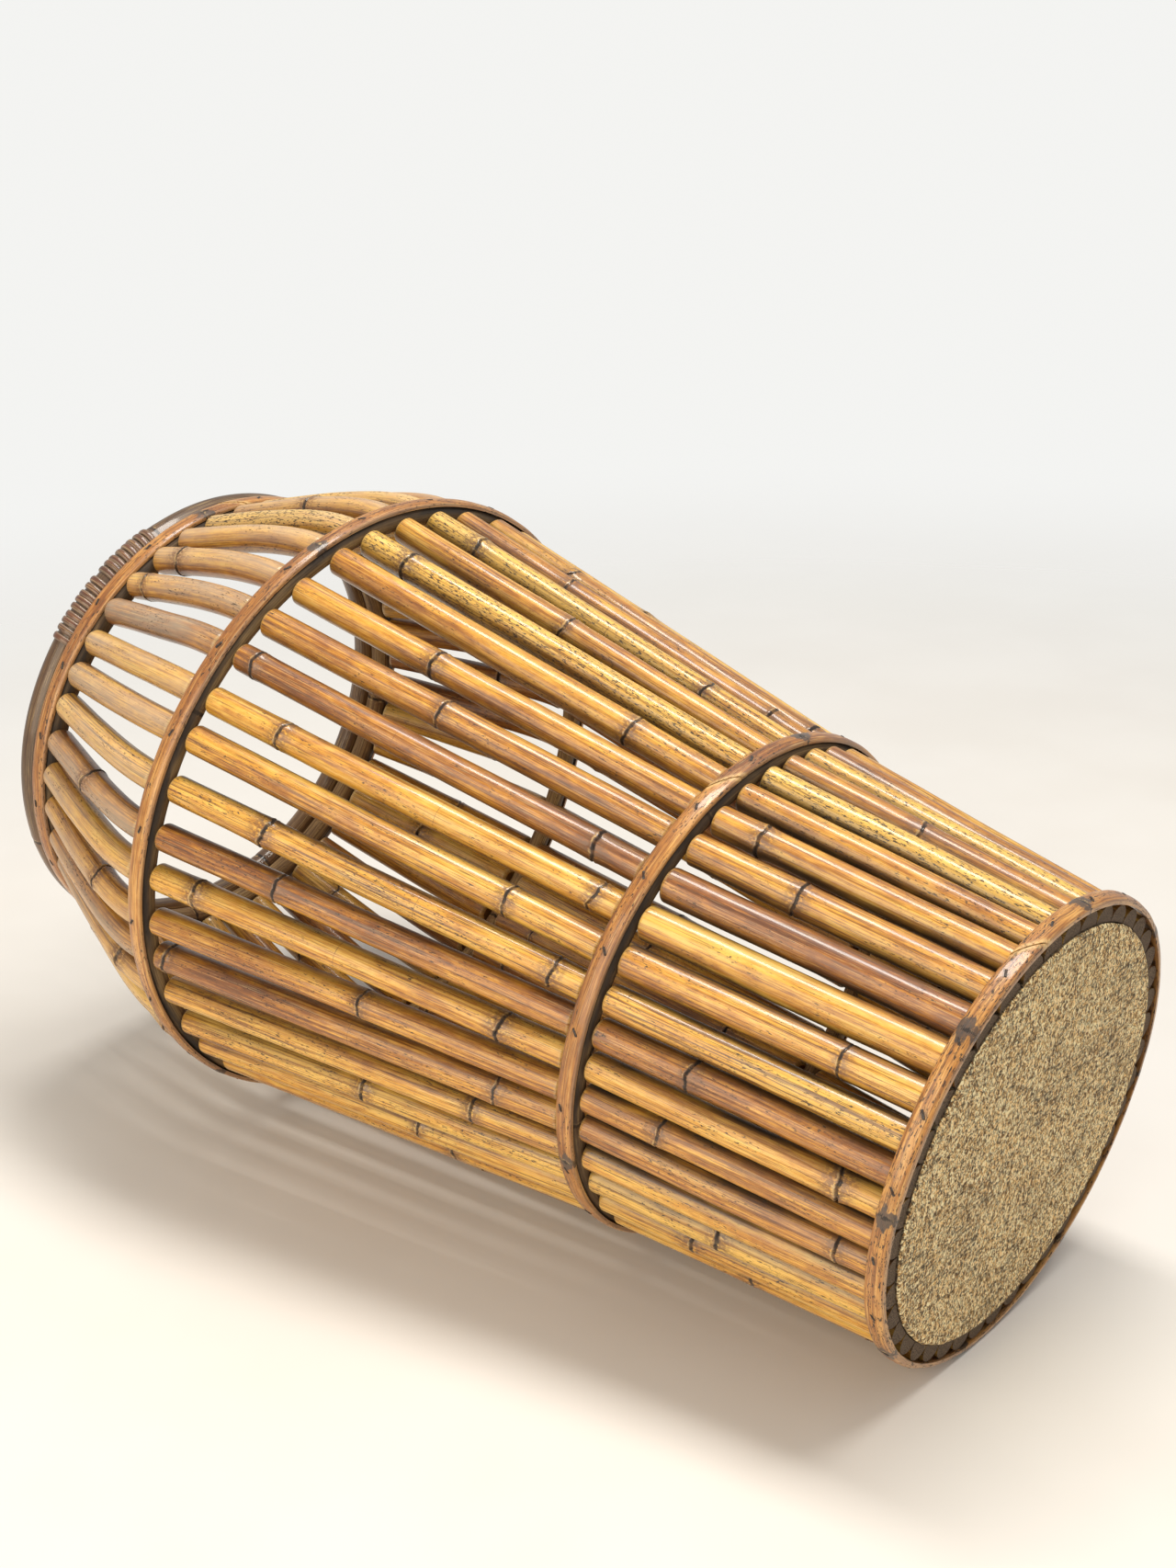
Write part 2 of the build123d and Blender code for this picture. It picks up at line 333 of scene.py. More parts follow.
def path_frame(path, run, place, out):
    """Centres and the ahead, outward and sideways directions at places on a path."""

    def at(where):
        return np.stack([np.interp(where, run, path[:, axis]) for axis in range(3)], 1)

    tangent = unit(at(place + 0.5) - at(place - 0.5))
    outward = unit(out - tangent * (tangent @ out)[:, None])
    return at(place), tangent, outward, np.cross(tangent, outward)


def bowed(centre, outward, side, share, rng):
    """The cane is never quite straight."""
    ease = np.sin(math.pi * share) ** 2
    drift = [rng.uniform(-CANE_BOW, CANE_BOW) for _ in range(4)]
    swing = np.cos(2 * math.pi * share)
    centre = centre + outward * (ease * (drift[0] + drift[1] * swing))[:, None]
    return centre + side * (ease * (drift[2] + drift[3] * swing))[:, None]


def uneven_round(radius, place, share, turn, rng):
    """Radii of a cane that isn't quite round or even."""
    local = np.full((len(place), SIDES), radius)
    local += 0.07 * np.cos(2 * turn + rng.uniform(0, 6.3))
    local += 0.04 * np.cos(3 * turn + 2.0 * share[:, None] + rng.uniform(0, 6.3))
    local += 0.07 * np.sin(place[:, None] / 31.0 + rng.uniform(0, 6.3))
    local += 0.03 * np.sin(place[:, None] / 7.0 + rng.uniform(0, 6.3) + turn)
    return local


def node_relief(away):
    """Height of the surface at a distance from a node."""
    relief = NODE_SWELL[0] * np.exp(-((away / NODE_SWELL[1]) ** 2))
    lips = (np.abs(away) - NODE_LIP_PLACE) / NODE_LIPS[1]
    relief = relief + NODE_LIPS[0] * np.exp(-(lips**2))
    relief = relief - NODE_GROOVE[0] * np.exp(-((away / NODE_GROOVE[1]) ** 2))
    step = np.tanh(away / 1.2) * np.exp(-((away / NODE_STEP[1]) ** 2))
    return relief + NODE_STEP[0] * step


def add_nodes(local, nodes, place, turn, rng):
    """Raises the nodes in place; gives the gap to the nearest one, and their waver."""
    nearest = np.full(local.shape, FAR)
    slide = np.zeros(local.shape)
    for node, strength in nodes:
        away = place[:, None] - node
        phases = [rng.uniform(0, 6.3) for _ in range(4)]
        reach = rng.uniform(0.5, 1.3)
        wobble = reach * (
            np.sin(turn + phases[0])
            + 0.5 * np.sin(2 * turn + phases[1])
            + 0.35 * np.sin(5 * turn + phases[2])
            + 0.2 * np.sin(9 * turn + phases[3])
        )
        slide += wobble * np.exp(-((away / 5.0) ** 2))
        uneven = 1 + 0.3 * np.sin(2 * turn + phases[1]) + 0.2 * np.sin(7 * turn + phases[2])
        local += strength * node_relief(away) * uneven
        # a weak node is marked as if it were further off, so its crack is thinner
        seen = away / min(max(strength, 0.3), 1.3)
        closer = np.abs(seen) < np.abs(nearest)
        nearest = np.where(closer, np.broadcast_to(seen, nearest.shape), nearest)
    return nearest, slide


def level_foot(points, place, tangent):
    """Makes the lowest rings level, and rebates their inner side for the board."""
    for ring, along in enumerate(place):
        level = POLE_FOOT_Z + along
        share = np.clip((LEVEL_UP_TO - along) / LEVEL_OVER, 0, 1)
        if share <= 0:
            break
        lift = (level - points[ring, :, 2]) / tangent[ring, 2]
        points[ring] += tangent[ring] * (lift * share)[:, None]
        if level < BOARD_T + 0.1:
            flat = np.hypot(points[ring, :, 0], points[ring, :, 1])
            push = np.maximum((BOARD_R + 0.05) / flat, 1.0)
            points[ring, :, :2] *= push[:, None]


def cane_wear_and_shade(shape, turn, place, length, mottled, kind):
    """Mottling, pale crowns on the necks, painted shade on the flanks between neighbours, and darker
    colour at the ends and the foot.
    """
    crown = np.clip(np.cos(turn), 0, 1) ** 1.2
    pale = crown * (NECK_WORN if kind == NECK else 0.0)
    # painted shade on the flanks, where neighbouring canes meet
    flanks = FLANK_SHADE[kind] * np.abs(np.sin(turn)) ** 4
    to_end = np.minimum(place, length - place)[:, None]
    # darker near the ends, and toward the foot on the lower lengths
    corners = END_DARKENING * np.clip(1.0 - to_end / END_DARKENING_REACH, 0, 1) ** 2
    shade_and_darkening = np.maximum(np.broadcast_to(flanks, shape), corners * (0.4 + 0.6 * flanks))
    if kind == LOWER:
        foot = FOOT_DARKENING * np.clip(1.0 - place[:, None] / FOOT_DARKENING_REACH, 0, 1)
        shade_and_darkening = np.maximum(shade_and_darkening, foot)
    return layers(shape, mottled, pale, shade_and_darkening)


def swept_cane(piece, path, out, radius, nodes, tone, seed, ends, mottled, kind):
    """One round length of cane along a path of points, with its nodes and both ends.

    nodes is a list of (place along the length, strength), ends the two roundings.
    """
    rng = random.Random(seed)
    foot = kind == LOWER
    path = np.asarray(path, float)
    steps = np.linalg.norm(np.diff(path, axis=0), axis=1)
    run = np.concatenate([[0], np.cumsum(steps)])
    length = run[-1]
    levels = FOOT_LEVELS if foot else ()
    place = stations(length, [node for node, _ in nodes], ends[0], ends[1], levels)
    share = place / length
    centre, tangent, outward, side = path_frame(path, run, place, out)
    centre = bowed(centre, outward, side, share, rng)

    turn = np.linspace(0, 2 * math.pi, SIDES, endpoint=False)[None, :]
    local = uneven_round(radius, place, share, turn, rng)
    shape = local.shape
    nearest, slide = add_nodes(local, nodes, place, turn, rng)
    trim_low = end_profile(place, ends[0], radius) - radius
    trim_high = end_profile(length - place, ends[1], radius) - radius
    local = np.maximum(local + trim_low[:, None] + trim_high[:, None], 0.4)
    points = (
        centre[:, None, :]
        + outward[:, None, :] * (local * np.cos(turn))[:, :, None]
        + side[:, None, :] * (local * np.sin(turn))[:, :, None]
        + tangent[:, None, :] * slide[:, :, None]
    )
    if foot:
        level_foot(points, place, tangent)

    end_gap = length - place if foot else np.minimum(place, length - place)
    along = place[:, None] + slide
    cane = layers(shape, radius * np.cos(turn), radius * np.sin(turn), along)
    cane = cane + np.array([rng.uniform(0, 900), rng.uniform(0, 900), rng.uniform(0, 900)])
    marks = layers(shape, nearest, end_gap[:, None], FAR)
    wear_and_shade = cane_wear_and_shade(shape, turn, place, length, mottled, kind)
    piece.add(points, grid_faces(*shape), cane * MM, marks * MM, tone, wear_and_shade)
    for ring, way in ((0, -1.0), (len(place) - 1, 1.0)):
        sawn = foot and ring == 0
        end_tone = (tone[0], tone[1], 1.0) if sawn else tone
        rough = SAWN_ROUGH if sawn else END_ROUGH
        cap(piece, points[ring], tangent[ring] * way, cane[ring], end_tone, rough, seed + ring)


def cap(piece, rim, normal, cane, tone, rough, seed):
    """Closes a ring of points with a slightly uneven face."""
    middle = rim.mean(0)
    cane_middle = cane.mean(0)
    shares = (1.0, 0.8, 0.55, 0.3)
    points, canes, marks = [], [], []
    span = np.linalg.norm(rim - middle, axis=1)
    for share in shares:
        loop = middle + (rim - middle) * share
        if share < 1.0:
            for index in range(len(loop)):
                where = Vector(loop[index] * 0.6) + Vector((seed * 1.3, 0, 0))
                dent = rough * (0.6 + 0.8 * simplex.noise(where))
                loop[index] = loop[index] - normal * dent
        points.append(loop)
        canes.append(cane_middle + (cane - cane_middle) * share)
        marks.append(np.stack([np.full(len(rim), FAR), (share - 1) * span, np.full(len(rim), FAR)], 1))
    points.append((middle - normal * rough)[None, :])
    canes.append(cane_middle[None, :])
    marks.append(np.array([[FAR, -span.mean(), FAR]]))
    sides = len(rim)
    faces = grid_faces(len(shares), sides)
    last = (len(shares) - 1) * sides
    centre = len(shares) * sides
    for side in range(sides):
        faces.append((last + side, last + (side + 1) % sides, centre))
    if np.dot(normal, ring_normal(points[0])) < 0:
        faces = [tuple(reversed(face)) for face in faces]
    canes = np.concatenate(canes) * MM
    marks = np.concatenate(marks) * MM
    piece.add(np.concatenate(points), faces, canes, marks, tone)


def ring_normal(rim):
    """Direction that a ring of points faces, by its winding seen from its centre."""
    middle = rim.mean(0)
    arms = rim - middle
    return np.cross(arms, np.roll(arms, -1, axis=0)).sum(0)


# ---------------------------------------------------------------- pole lines
def lower_path(number):
    top_z = WAIST_Z - LEANING_BUTT
    inset = pole_radius(number, LOWER) - 0.5 * POLE_D
    start = polar(lower_radius(-8.0) - inset, foot_angle(number), -8.0)
    end = polar(lower_radius(top_z) - inset, waist_angle(number), top_z)
    run = end - start
    foot = start + run * (POLE_FOOT_Z - start[2]) / run[2]
    return np.array([foot, end])


def middle_path(number):
    low_z = WAIST_Z + LEANING_BUTT
    high_z = SHOULDER_Z - LEANING_BUTT
    start = polar(middle_radius(low_z), waist_angle(number), low_z)
    end = polar(middle_radius(high_z), shoulder_angle(number), high_z)
    return np.array([start, end])


def neck_path(number):
    """The steam-bent length, from the shoulder ring to the rim ring."""
    low_z = SHOULDER_Z + LEANING_BUTT
    high_z = RIM_Z - RIM_RING_THICK_R - CLEAR - 0.7
    corners = np.array(
        [
            (SHOULDER_POLE_R + 0.5, low_z),
            (SHOULDER_POLE_R + 2.2, low_z + 19.0),
            (RIM_POLE_R + 20.0, high_z - 43.0),
            (RIM_POLE_R + 2.6, high_z),
        ]
    )
    t = np.linspace(0, 1, 120)[:, None]
    flat = (
        (1 - t) ** 3 * corners[0]
        + 3 * (1 - t) ** 2 * t * corners[1]
        + 3 * (1 - t) * t**2 * corners[2]
        + t**3 * corners[3]
    )
    drift = RIM_POLE_R * math.radians(rim_angle(number) - shoulder_angle(number))
    lean = math.asin(drift / (high_z - low_z))
    rise = flat[:, 1] - low_z
    turn = math.radians(shoulder_angle(number))
    sideways = rise * math.sin(lean)
    x = flat[:, 0] * math.cos(turn) - sideways * math.sin(turn)
    y = flat[:, 0] * math.sin(turn) + sideways * math.cos(turn)
    return np.stack([x, y, low_z + rise * math.cos(lean)], 1)


# a cane grows a node at about this spacing, and none shows this close to a sawn end
POLE_NODE_SPACING = (120.0, 200.0)
NODE_END_CLEAR = 7.0

# (warmth, streakiness, mottling) of the front pole lines
FRONT_TONES = {
    16: (0.22, 0.35, 0.2), 17: (0.20, 0.55, 0.3), 18: (0.10, 0.60, 0.4),
    19: (0.36, 0.85, 0.2), 20: (0.54, 0.45, 0.2), 21: (0.46, 0.45, 0.1),
    22: (0.27, 0.35, 0.2), 23: (0.66, 0.55, 0.2), 24: (0.26, 1.00, 0.4),
    25: (0.34, 0.80, 0.1), 26: (0.24, 0.25, 0.1), 27: (0.78, 0.35, 0.1),
    28: (0.46, 0.55, 0.2), 29: (0.42, 0.35, 0.1), 30: (0.34, 0.20, 0.3),
    31: (0.02, 0.55, 1.0), 32: (0.42, 0.40, 0.2), 33: (0.12, 0.50, 0.8),
    34: (0.52, 0.35, 0.2),
}


def line_nodes(number, lengths):
    """Nodes of one cane, given out to the three lengths that were cut from it.

    Each is a (place along its length, strength).
    """
    rng = random.Random(1000 + number)
    place = rng.uniform(0.0, POLE_NODE_SPACING[1])
    found = []
    for length in lengths:
        here = []
        while place < length:
            strength = rng.uniform(0.7, 1.35)
            if NODE_END_CLEAR < place < length - NODE_END_CLEAR:
                here.append((place, strength))
            place += rng.uniform(*POLE_NODE_SPACING)
        place -= length
        found.append(here)
    return found


def pole_tone(number):
    """(warmth, streakiness, mottling) of a pole line."""
    rng = random.Random(77 + number)
    by_chance = (rng.uniform(0.1, 0.75), rng.uniform(0.1, 0.9), rng.uniform(0.0, 0.5))
    return FRONT_TONES.get(number, by_chance)


def pole_line(number):
    piece = Piece()
    warmth, streaky, mottled = pole_tone(number)
    out = polar(1.0, nominal_angle(number), 0.0)
    parts = (
        (lower_path(number), LOWER, (0.0, END_ROUND)),
        (middle_path(number), MIDDLE, (END_ROUND, END_ROUND)),
        (neck_path(number), NECK, (NECK_END_ROUND, NECK_END_ROUND)),
    )
    lengths = [np.linalg.norm(np.diff(path, axis=0), axis=1).sum() for path, _, _ in parts]
    for (path, kind, ends), nodes in zip(parts, line_nodes(number, lengths)):
        swept_cane(
            piece,
            path,
            out,
            pole_radius(number, kind),
            nodes,
            (warmth, streaky, 0.0),
            100 * number + kind,
            ends,
            mottled,
            kind,
        )
    label = "pole_%02d" % number
    return piece.build("cane_" + label, POLE_CANE, [label])


# ---------------------------------------------------------------- rings, rod and hoops
def ring_of_cane(radius, z, thickness, nodes, seed, sides=24, rows=360):
    """Closed round ring of cane, as points, attributes and faces."""
    rng = random.Random(seed)
    angle = np.linspace(0, 360.0, rows, endpoint=False)
    turn = np.linspace(0, 2 * math.pi, sides, endpoint=False)[None, :]
    local = np.full((rows, sides), thickness)
    local += 0.06 * np.cos(2 * turn + rng.uniform(0, 6.3))
    local += 0.05 * np.sin(np.radians(angle * 9)[:, None] + rng.uniform(0, 6.3))
    nearest = np.full(rows, FAR)
    for node in nodes:
        away = np.radians((angle - node + 180.0) % 360.0 - 180.0) * radius
        local += (0.22 * np.exp(-((away / 4.0) ** 2)))[:, None]
        local -= (0.35 * np.exp(-((away / 0.8) ** 2)))[:, None]
        nearest = np.where(np.abs(away) < np.abs(nearest), away, nearest)
    across = radius + local * np.cos(turn)
    height = z + local * np.sin(turn)
    around = np.radians(angle)[:, None]
    shape = local.shape
    points = layers(shape, across * np.cos(around), across * np.sin(around), height)
    cane = layers(shape, thickness * np.cos(turn), thickness * np.sin(turn), around * radius)
    marks = layers(shape, nearest[:, None], FAR, FAR)
    # painted shade on the outer side and edges, which lie under the hoop
    wear_and_shade = layers(shape, 0.0, 0.0, np.clip(0.55 + 1.1 * np.cos(turn), 0, 1))
    return points, (cane + seed * 17.0) * MM, marks * MM, wear_and_shade


def ring_piece(name, radius, z, thickness, nodes, tone, seed, material, node):
    points, cane, marks, wear_and_shade = ring_of_cane(radius, z, thickness, nodes, seed)
    if node == "rim_ring":
        seat_for_binding(points)
    # the rod keeps only a share of this painted shade
    if node == "rim_rod":
        wear_and_shade = wear_and_shade * ROD_SHADE_SHARE
    piece = Piece()
    faces = grid_faces(*points.shape[:2], closed_rows=True)
    piece.add(points, faces, cane, marks, tone, wear_and_shade)
    return piece.build(name, material, [node])


def spaced_nodes(first, step):
    """Angles of the nodes round a ring or hoop, about a step apart."""
    count = int(360.0 / step)
    return [first + step * index + 2.0 * wander(index, first) for index in range(count)]


def seat_for_binding(points):
    """Shallow seat in the rim ring, where the cane binding passes under the rod."""
    limit = ROD_R + BINDING_T + 0.3
    radius = np.hypot(points[..., 0], points[..., 1])
    angle = np.degrees(np.arctan2(points[..., 1], points[..., 0])) % 360.0
    across = radius - ROD_CENTRE_R
    rise = points[..., 2] - ROD_Z
    gap = np.hypot(across, rise)
    within = (angle > BINDING_START - 0.8) & (angle < BINDING_END + 0.8)
    move = within & (gap < limit)
    scale = np.where(move, limit / np.maximum(gap, 0.1), 1.0)
    new_radius = ROD_CENTRE_R + across * scale
    points[..., 0] *= new_radius / radius
    points[..., 1] *= new_radius / radius
    points[..., 2] = ROD_Z + rise * scale


def hoop_section(width, thickness):
    """Closed half-round outline: (share across the width, height above the flat)."""
    outline = []
    for turn in np.linspace(0, math.pi, 19):
        rise = thickness * (0.33 + 0.67 * math.sin(turn) ** 0.72)
        outline.append((0.5 - 0.5 * math.cos(turn), rise))
    outline.extend([(1.0, 0.02), (0.75, 0.0), (0.5, 0.0), (0.25, 0.0), (0.0, 0.02)])
    return np.array(outline)


def hoop_piece(name, node, radii, low_z, width, thickness, scarf, nodes, strength, tone, seed):
    """Half-round cane hoop, cut open by its scarf joint."""
    rng = random.Random(seed)
    outline = hoop_section(width, thickness - SWELL_ROOM)
    sides = len(outline)
    rows = 620
    mean_r = 0.5 * (sum(radii) + thickness)
    gap = SCARF_GAP / math.sin(math.radians(SCARF_ANGLE)) / mean_r
    share = np.linspace(0, 1, rows)[:, None]
    across = outline[:, 0][None, :]
    shear = -width / math.tan(math.radians(SCARF_ANGLE)) / mean_r
    around = (
        math.radians(scarf) + 0.5 * gap + share * (2 * math.pi - gap)
        + (across - 0.5) * shear
    )
    rise = np.broadcast_to(outline[:, 1][None, :], around.shape).copy()
    bulge = np.where(rise > 0.1, 1.0, 0.0)
    rise += bulge * 0.07 * np.sin(11 * around + rng.uniform(0, 6.3))
    rise += bulge * 0.05 * np.sin(37 * around + rng.uniform(0, 6.3))
    nearest = np.full(around.shape, FAR)
    for place in nodes:
        away = turn_between(around, place) * mean_r
        rise += bulge * strength * 0.35 * np.exp(-((away / 3.6) ** 2))
        rise -= bulge * strength * 0.18 * np.exp(-(((away - 0.4) / 0.7) ** 2))
        # the blotch is an oval in the middle of the strip
        away = np.copysign(np.hypot(0.8 * away, (across - 0.45) * width * 1.05), away)
        nearest = np.where(np.abs(away) < np.abs(nearest), away, nearest)
    # the joint shows: one tapered end stands a little prouder than the other
    rise += bulge * 0.14 * np.exp(-share * rows / 9.0)
    rise -= bulge * 0.14 * np.exp(-(1 - share) * rows / 9.0)
    inner = radii[0] + (radii[1] - radii[0]) * across
    wave = 0.16 * np.sin(3 * around + rng.uniform(0, 6.3))
    wave = wave + 0.08 * np.sin(7 * around + rng.uniform(0, 6.3))
    distance = inner + rise
    shape = around.shape
    height = low_z + width * across + wave
    points = layers(shape, distance * np.cos(around), distance * np.sin(around), height)
    cane = layers(shape, across * width, rise, around * mean_r)
    end_gap = np.minimum(share, 1 - share) * 2 * math.pi * mean_r
    end_gap = end_gap * math.sin(math.radians(SCARF_ANGLE))
    spots = staple_places(node, low_z + 0.5 * width)
    spot_gap = np.full(around.shape, FAR)
    for spot_angle, spot_z, _ in spots:
        away = turn_between(around, spot_angle) * mean_r
        spot_gap = np.minimum(spot_gap, np.hypot(away, points[..., 2] - spot_z))
    marks = layers(shape, nearest, end_gap, spot_gap)
    edge = np.clip(1 - np.minimum(across, 1 - across) * width, 0, 1)
    # painted shade on the flat inner face, which lies against the poles
    inside = 0.6 * (outline[:, 1] == 0.0)[None, :]
    mottled = 0.8 if node == "base_hoop" else 0.4
    wear_and_shade = layers(shape, mottled, edge * np.where(across < 0.5, 0.28, 0.08), inside)
    piece = Piece()
    faces = grid_faces(rows, sides)
    faces.append(tuple(range(sides)))
    faces.append(tuple((rows - 1) * sides + index for index in reversed(range(sides))))
    faces = [tuple(reversed(face)) for face in faces]
    piece.add(points, faces, (cane + seed * 13.0) * MM, marks * MM, tone, wear_and_shade)
    return piece.build(name, HOOP_CANE, [node])


STAPLE_LEANS = {
    "base_hoop": 30.0,
    "waist_hoop": 35.0,
    "shoulder_hoop": -20.0,
    "rim_hoop": 15.0,
}


def staple_places(node, z):
    """(angle, height, lean) of the staples in one hoop, as in the CAD."""
    places = []
    for number in range(1, POLE_COUNT + 1, 2):
        angle = nominal_angle(number) + 0.6 * wander(number, 9)
        lean = STAPLE_LEANS[node] + 18.0 * wander(number, 10)
        places.append((angle, z + 0.7 * wander(number, 8), lean))
    return places


def staple_piece(node, radius, z):
    """Bent wire staples, their crowns nearly flush with the hoop."""
    piece = Piece()
    name = node + "_staples"
    for angle, height, lean in staple_places(node, z):
        outward = polar(1.0, angle, 0.0)
        up = np.array([0.0, 0.0, 1.0])
        across = np.cross(outward, up)
        tilt = math.radians(lean)
        # the crown runs along this direction, and the width across it
        width_way = up * math.cos(tilt) + across * math.sin(tilt)
        run_way = -up * math.sin(tilt) + across * math.cos(tilt)
        centre = polar(radius - STAPLE_SUNK, angle, height)
        half = 0.5 * STAPLE_L
        bend = 0.5
        path = []
        for turn in np.linspace(0, 0.5 * math.pi, 5):
            path.append((bend - half - bend * math.cos(turn), bend * math.sin(turn) - bend))
        path = [(-half, -1.9)] + path
        path = path + [(-along, deep) for along, deep in reversed(path)]
        section = []
        for turn in np.linspace(0, 2 * math.pi, 10, endpoint=False):
            wide = math.copysign(abs(math.cos(turn)) ** 0.7, math.cos(turn))
            thick = math.copysign(abs(math.sin(turn)) ** 0.7, math.sin(turn))
            section.append((0.5 * STAPLE_W * wide, STAPLE_HALF_T * thick))
        points = []
        for index, (along, deep) in enumerate(path):
            before = path[max(index - 1, 0)]
            after = path[min(index + 1, len(path) - 1)]
            heading = np.array([after[0] - before[0], after[1] - before[1]])
            heading = heading / np.linalg.norm(heading)
            lift = np.array([-heading[1], heading[0]])
            for wide, thick in section:
                points.append(
                    centre
                    + run_way * (along + lift[0] * thick)
                    + outward * (deep - STAPLE_HALF_T + lift[1] * thick)
                    + width_way * wide
                )
        faces = grid_faces(len(path), len(section)) + end_faces(len(path), len(section))
        points = np.array(points)
        piece.add(points, faces, points * MM, (FAR * MM,) * 3, (0.5, 0.5, 0.0))
    return piece.build("steel_" + name, STAPLE_STEEL, [name])


# ---------------------------------------------------------------- binding
def binding_piece():
    """Split cane wound round the joint of the mouth rod, in two runs."""
    piece = Piece()
    arc = (BINDING_END - BINDING_START) / BINDING_TURNS
    split = int(round((BINDING_GAP - BINDING_START) / arc))
    runs = ((BINDING_START, split, -0.35), (BINDING_GAP, BINDING_TURNS - split, 0.35))
    rng = random.Random(5)
    for start, turns, shift in runs:
        steps = turns * 30
        rows = []
        canes = []
        outline = []
        for turn in np.linspace(0, math.pi, 9):
            outline.append((-0.5 * TURN_W * math.cos(turn), BINDING_T * math.sin(turn) ** 0.55))
        outline.extend([(0.25 * TURN_W, 0.0), (-0.25 * TURN_W, 0.0)])
        waver = [rng.uniform(0, 6.3) for _ in range(3)]
        for step in range(steps + 1):
            wound = step / 30.0
            angle = start + shift + arc * (0.12 + wound * (turns - 0.24) / turns)
            angle += 0.10 * math.sin(wound * 2.1 + waver[0]) * arc
            spin = 2 * math.pi * wound - 0.5 * math.pi
            outward = polar(1.0, angle, 0.0)
            up = np.array([0.0, 0.0, 1.0])
            along = np.cross(up, outward)
            tilt = outward * math.cos(spin) + up * math.sin(spin)
            centre = outward * ROD_CENTRE_R + up * ROD_Z
            loose = 0.12 + 0.08 * math.sin(wound * 1.7 + waver[1])
            for wide, high in outline:
                rows.append(centre + tilt * (ROD_R + loose + high) + along * wide)
                canes.append((wide, high, 2 * math.pi * 7.6 * wound + start))
        sides = len(outline)
        faces = grid_faces(steps + 1, sides) + end_faces(steps + 1, sides)
        canes = np.array(canes)
        marks = np.full(canes.shape, FAR)
        edge = np.clip((np.abs(canes[:, 0]) - 0.5 * TURN_W + 0.9) / 0.6, 0, 1)
        wear_and_shade = np.stack([0.0 * edge, 0.35 * edge, 0.0 * edge], 1)
        piece.add(rows, faces, canes * MM, marks * MM, (0.7, 0.5, 0.0), wear_and_shade)
    return piece.build("cane_rim_binding", BINDING_CANE, ["rim_binding"])


# ---------------------------------------------------------------- base board
def disc_grid(cells):
    """Square grid laid over a unit disc without a pole."""
    side = np.linspace(-1, 1, cells + 1)
    a, b = np.meshgrid(side, side)
    wide = np.abs(a) > np.abs(b)
    with np.errstate(divide="ignore", invalid="ignore"):
        radius = np.where(wide, a, b)
        angle = np.where(wide, 0.25 * math.pi * b / a, 0.5 * math.pi - 0.25 * math.pi * a / b)
    angle = np.nan_to_num(angle)
    return radius * np.cos(angle), radius * np.sin(angle)


def board_piece(cells=200):
    """Chipboard disc with a pitted face and a crumbled edge."""
    piece = Piece()
    x, y = disc_grid(cells)
    flat = np.hypot(x, y)
    edge = np.clip((1 - flat) * BOARD_R, 0, None)
    rim_r = BOARD_R - 0.35
    size = cells + 1

    def relief(height, facing, depth):
        z = np.zeros_like(x)
        for row in range(size):
            for column in range(size):
                where = Vector((x[row, column] * BOARD_R, y[row, column] * BOARD_R, height))
                coarse = simplex.noise(where * 0.11)
                chips = simplex.noise(where * 0.75)
                pits = max(0.0, simplex.noise(where * 0.33 + Vector((7, 3, 1))) - 0.42)
                z[row, column] = 0.10 * coarse + 0.12 * chips + 0.9 * pits
        z = depth * (z - z.min())
        bevel = BOARD_BEVEL * np.clip(1 - edge / BOARD_BEVEL, 0, 1) ** 1.6
        return height + facing * (z + bevel)

    low = relief(0.0, 1.0, 1.0)
    high = relief(BOARD_T, -1.0, 0.7)
    angle = np.arctan2(y, x)
    ragged = 0.14 * np.sin(angle * 23) + 0.1 * np.sin(angle * 57 + 1) + 0.08 * np.sin(angle * 131)
    radius = flat * (rim_r + ragged * (flat > 0.995))
    for z, flip in ((low, True), (high, False)):
        points = np.stack([radius * np.cos(angle), radius * np.sin(angle), z], 2)
        faces = grid_faces(size, size, closed_sides=False)
        if flip:
            faces = [tuple(reversed(face)) for face in faces]
        piece.add(points, faces, points.reshape(-1, 3) * MM, (FAR * MM,) * 3, (0, 0, 0))
    loop = [(0, column) for column in range(size)]
    loop += [(row, size - 1) for row in range(1, size)]
    loop += [(size - 1, column) for column in reversed(range(size - 1))]
    loop += [(row, 0) for row in reversed(range(1, size - 1))]
    rows = []
    shares = np.linspace(0, 1, 9)
    for share in shares:
        for row, column in loop:
            turn = angle[row, column]
            z = low[row, column] * (1 - share) + high[row, column] * share
            crumble = 0.0
            if 0 < share < 1:
                where = Vector((math.cos(turn) * 60, math.sin(turn) * 60, z * 0.6))
                crumble = 0.22 * simplex.noise(where) - 0.12
            reach = radius[row, column] + crumble
            rows.append((reach * math.cos(turn), reach * math.sin(turn), z))
    rows = np.array(rows)
    faces = grid_faces(len(shares), len(loop))
    piece.add(rows, faces, rows * MM, (FAR * MM,) * 3, (0, 0, 1))
    return piece.build("board_base", CHIPBOARD, ["base_board"], crease=40.0)


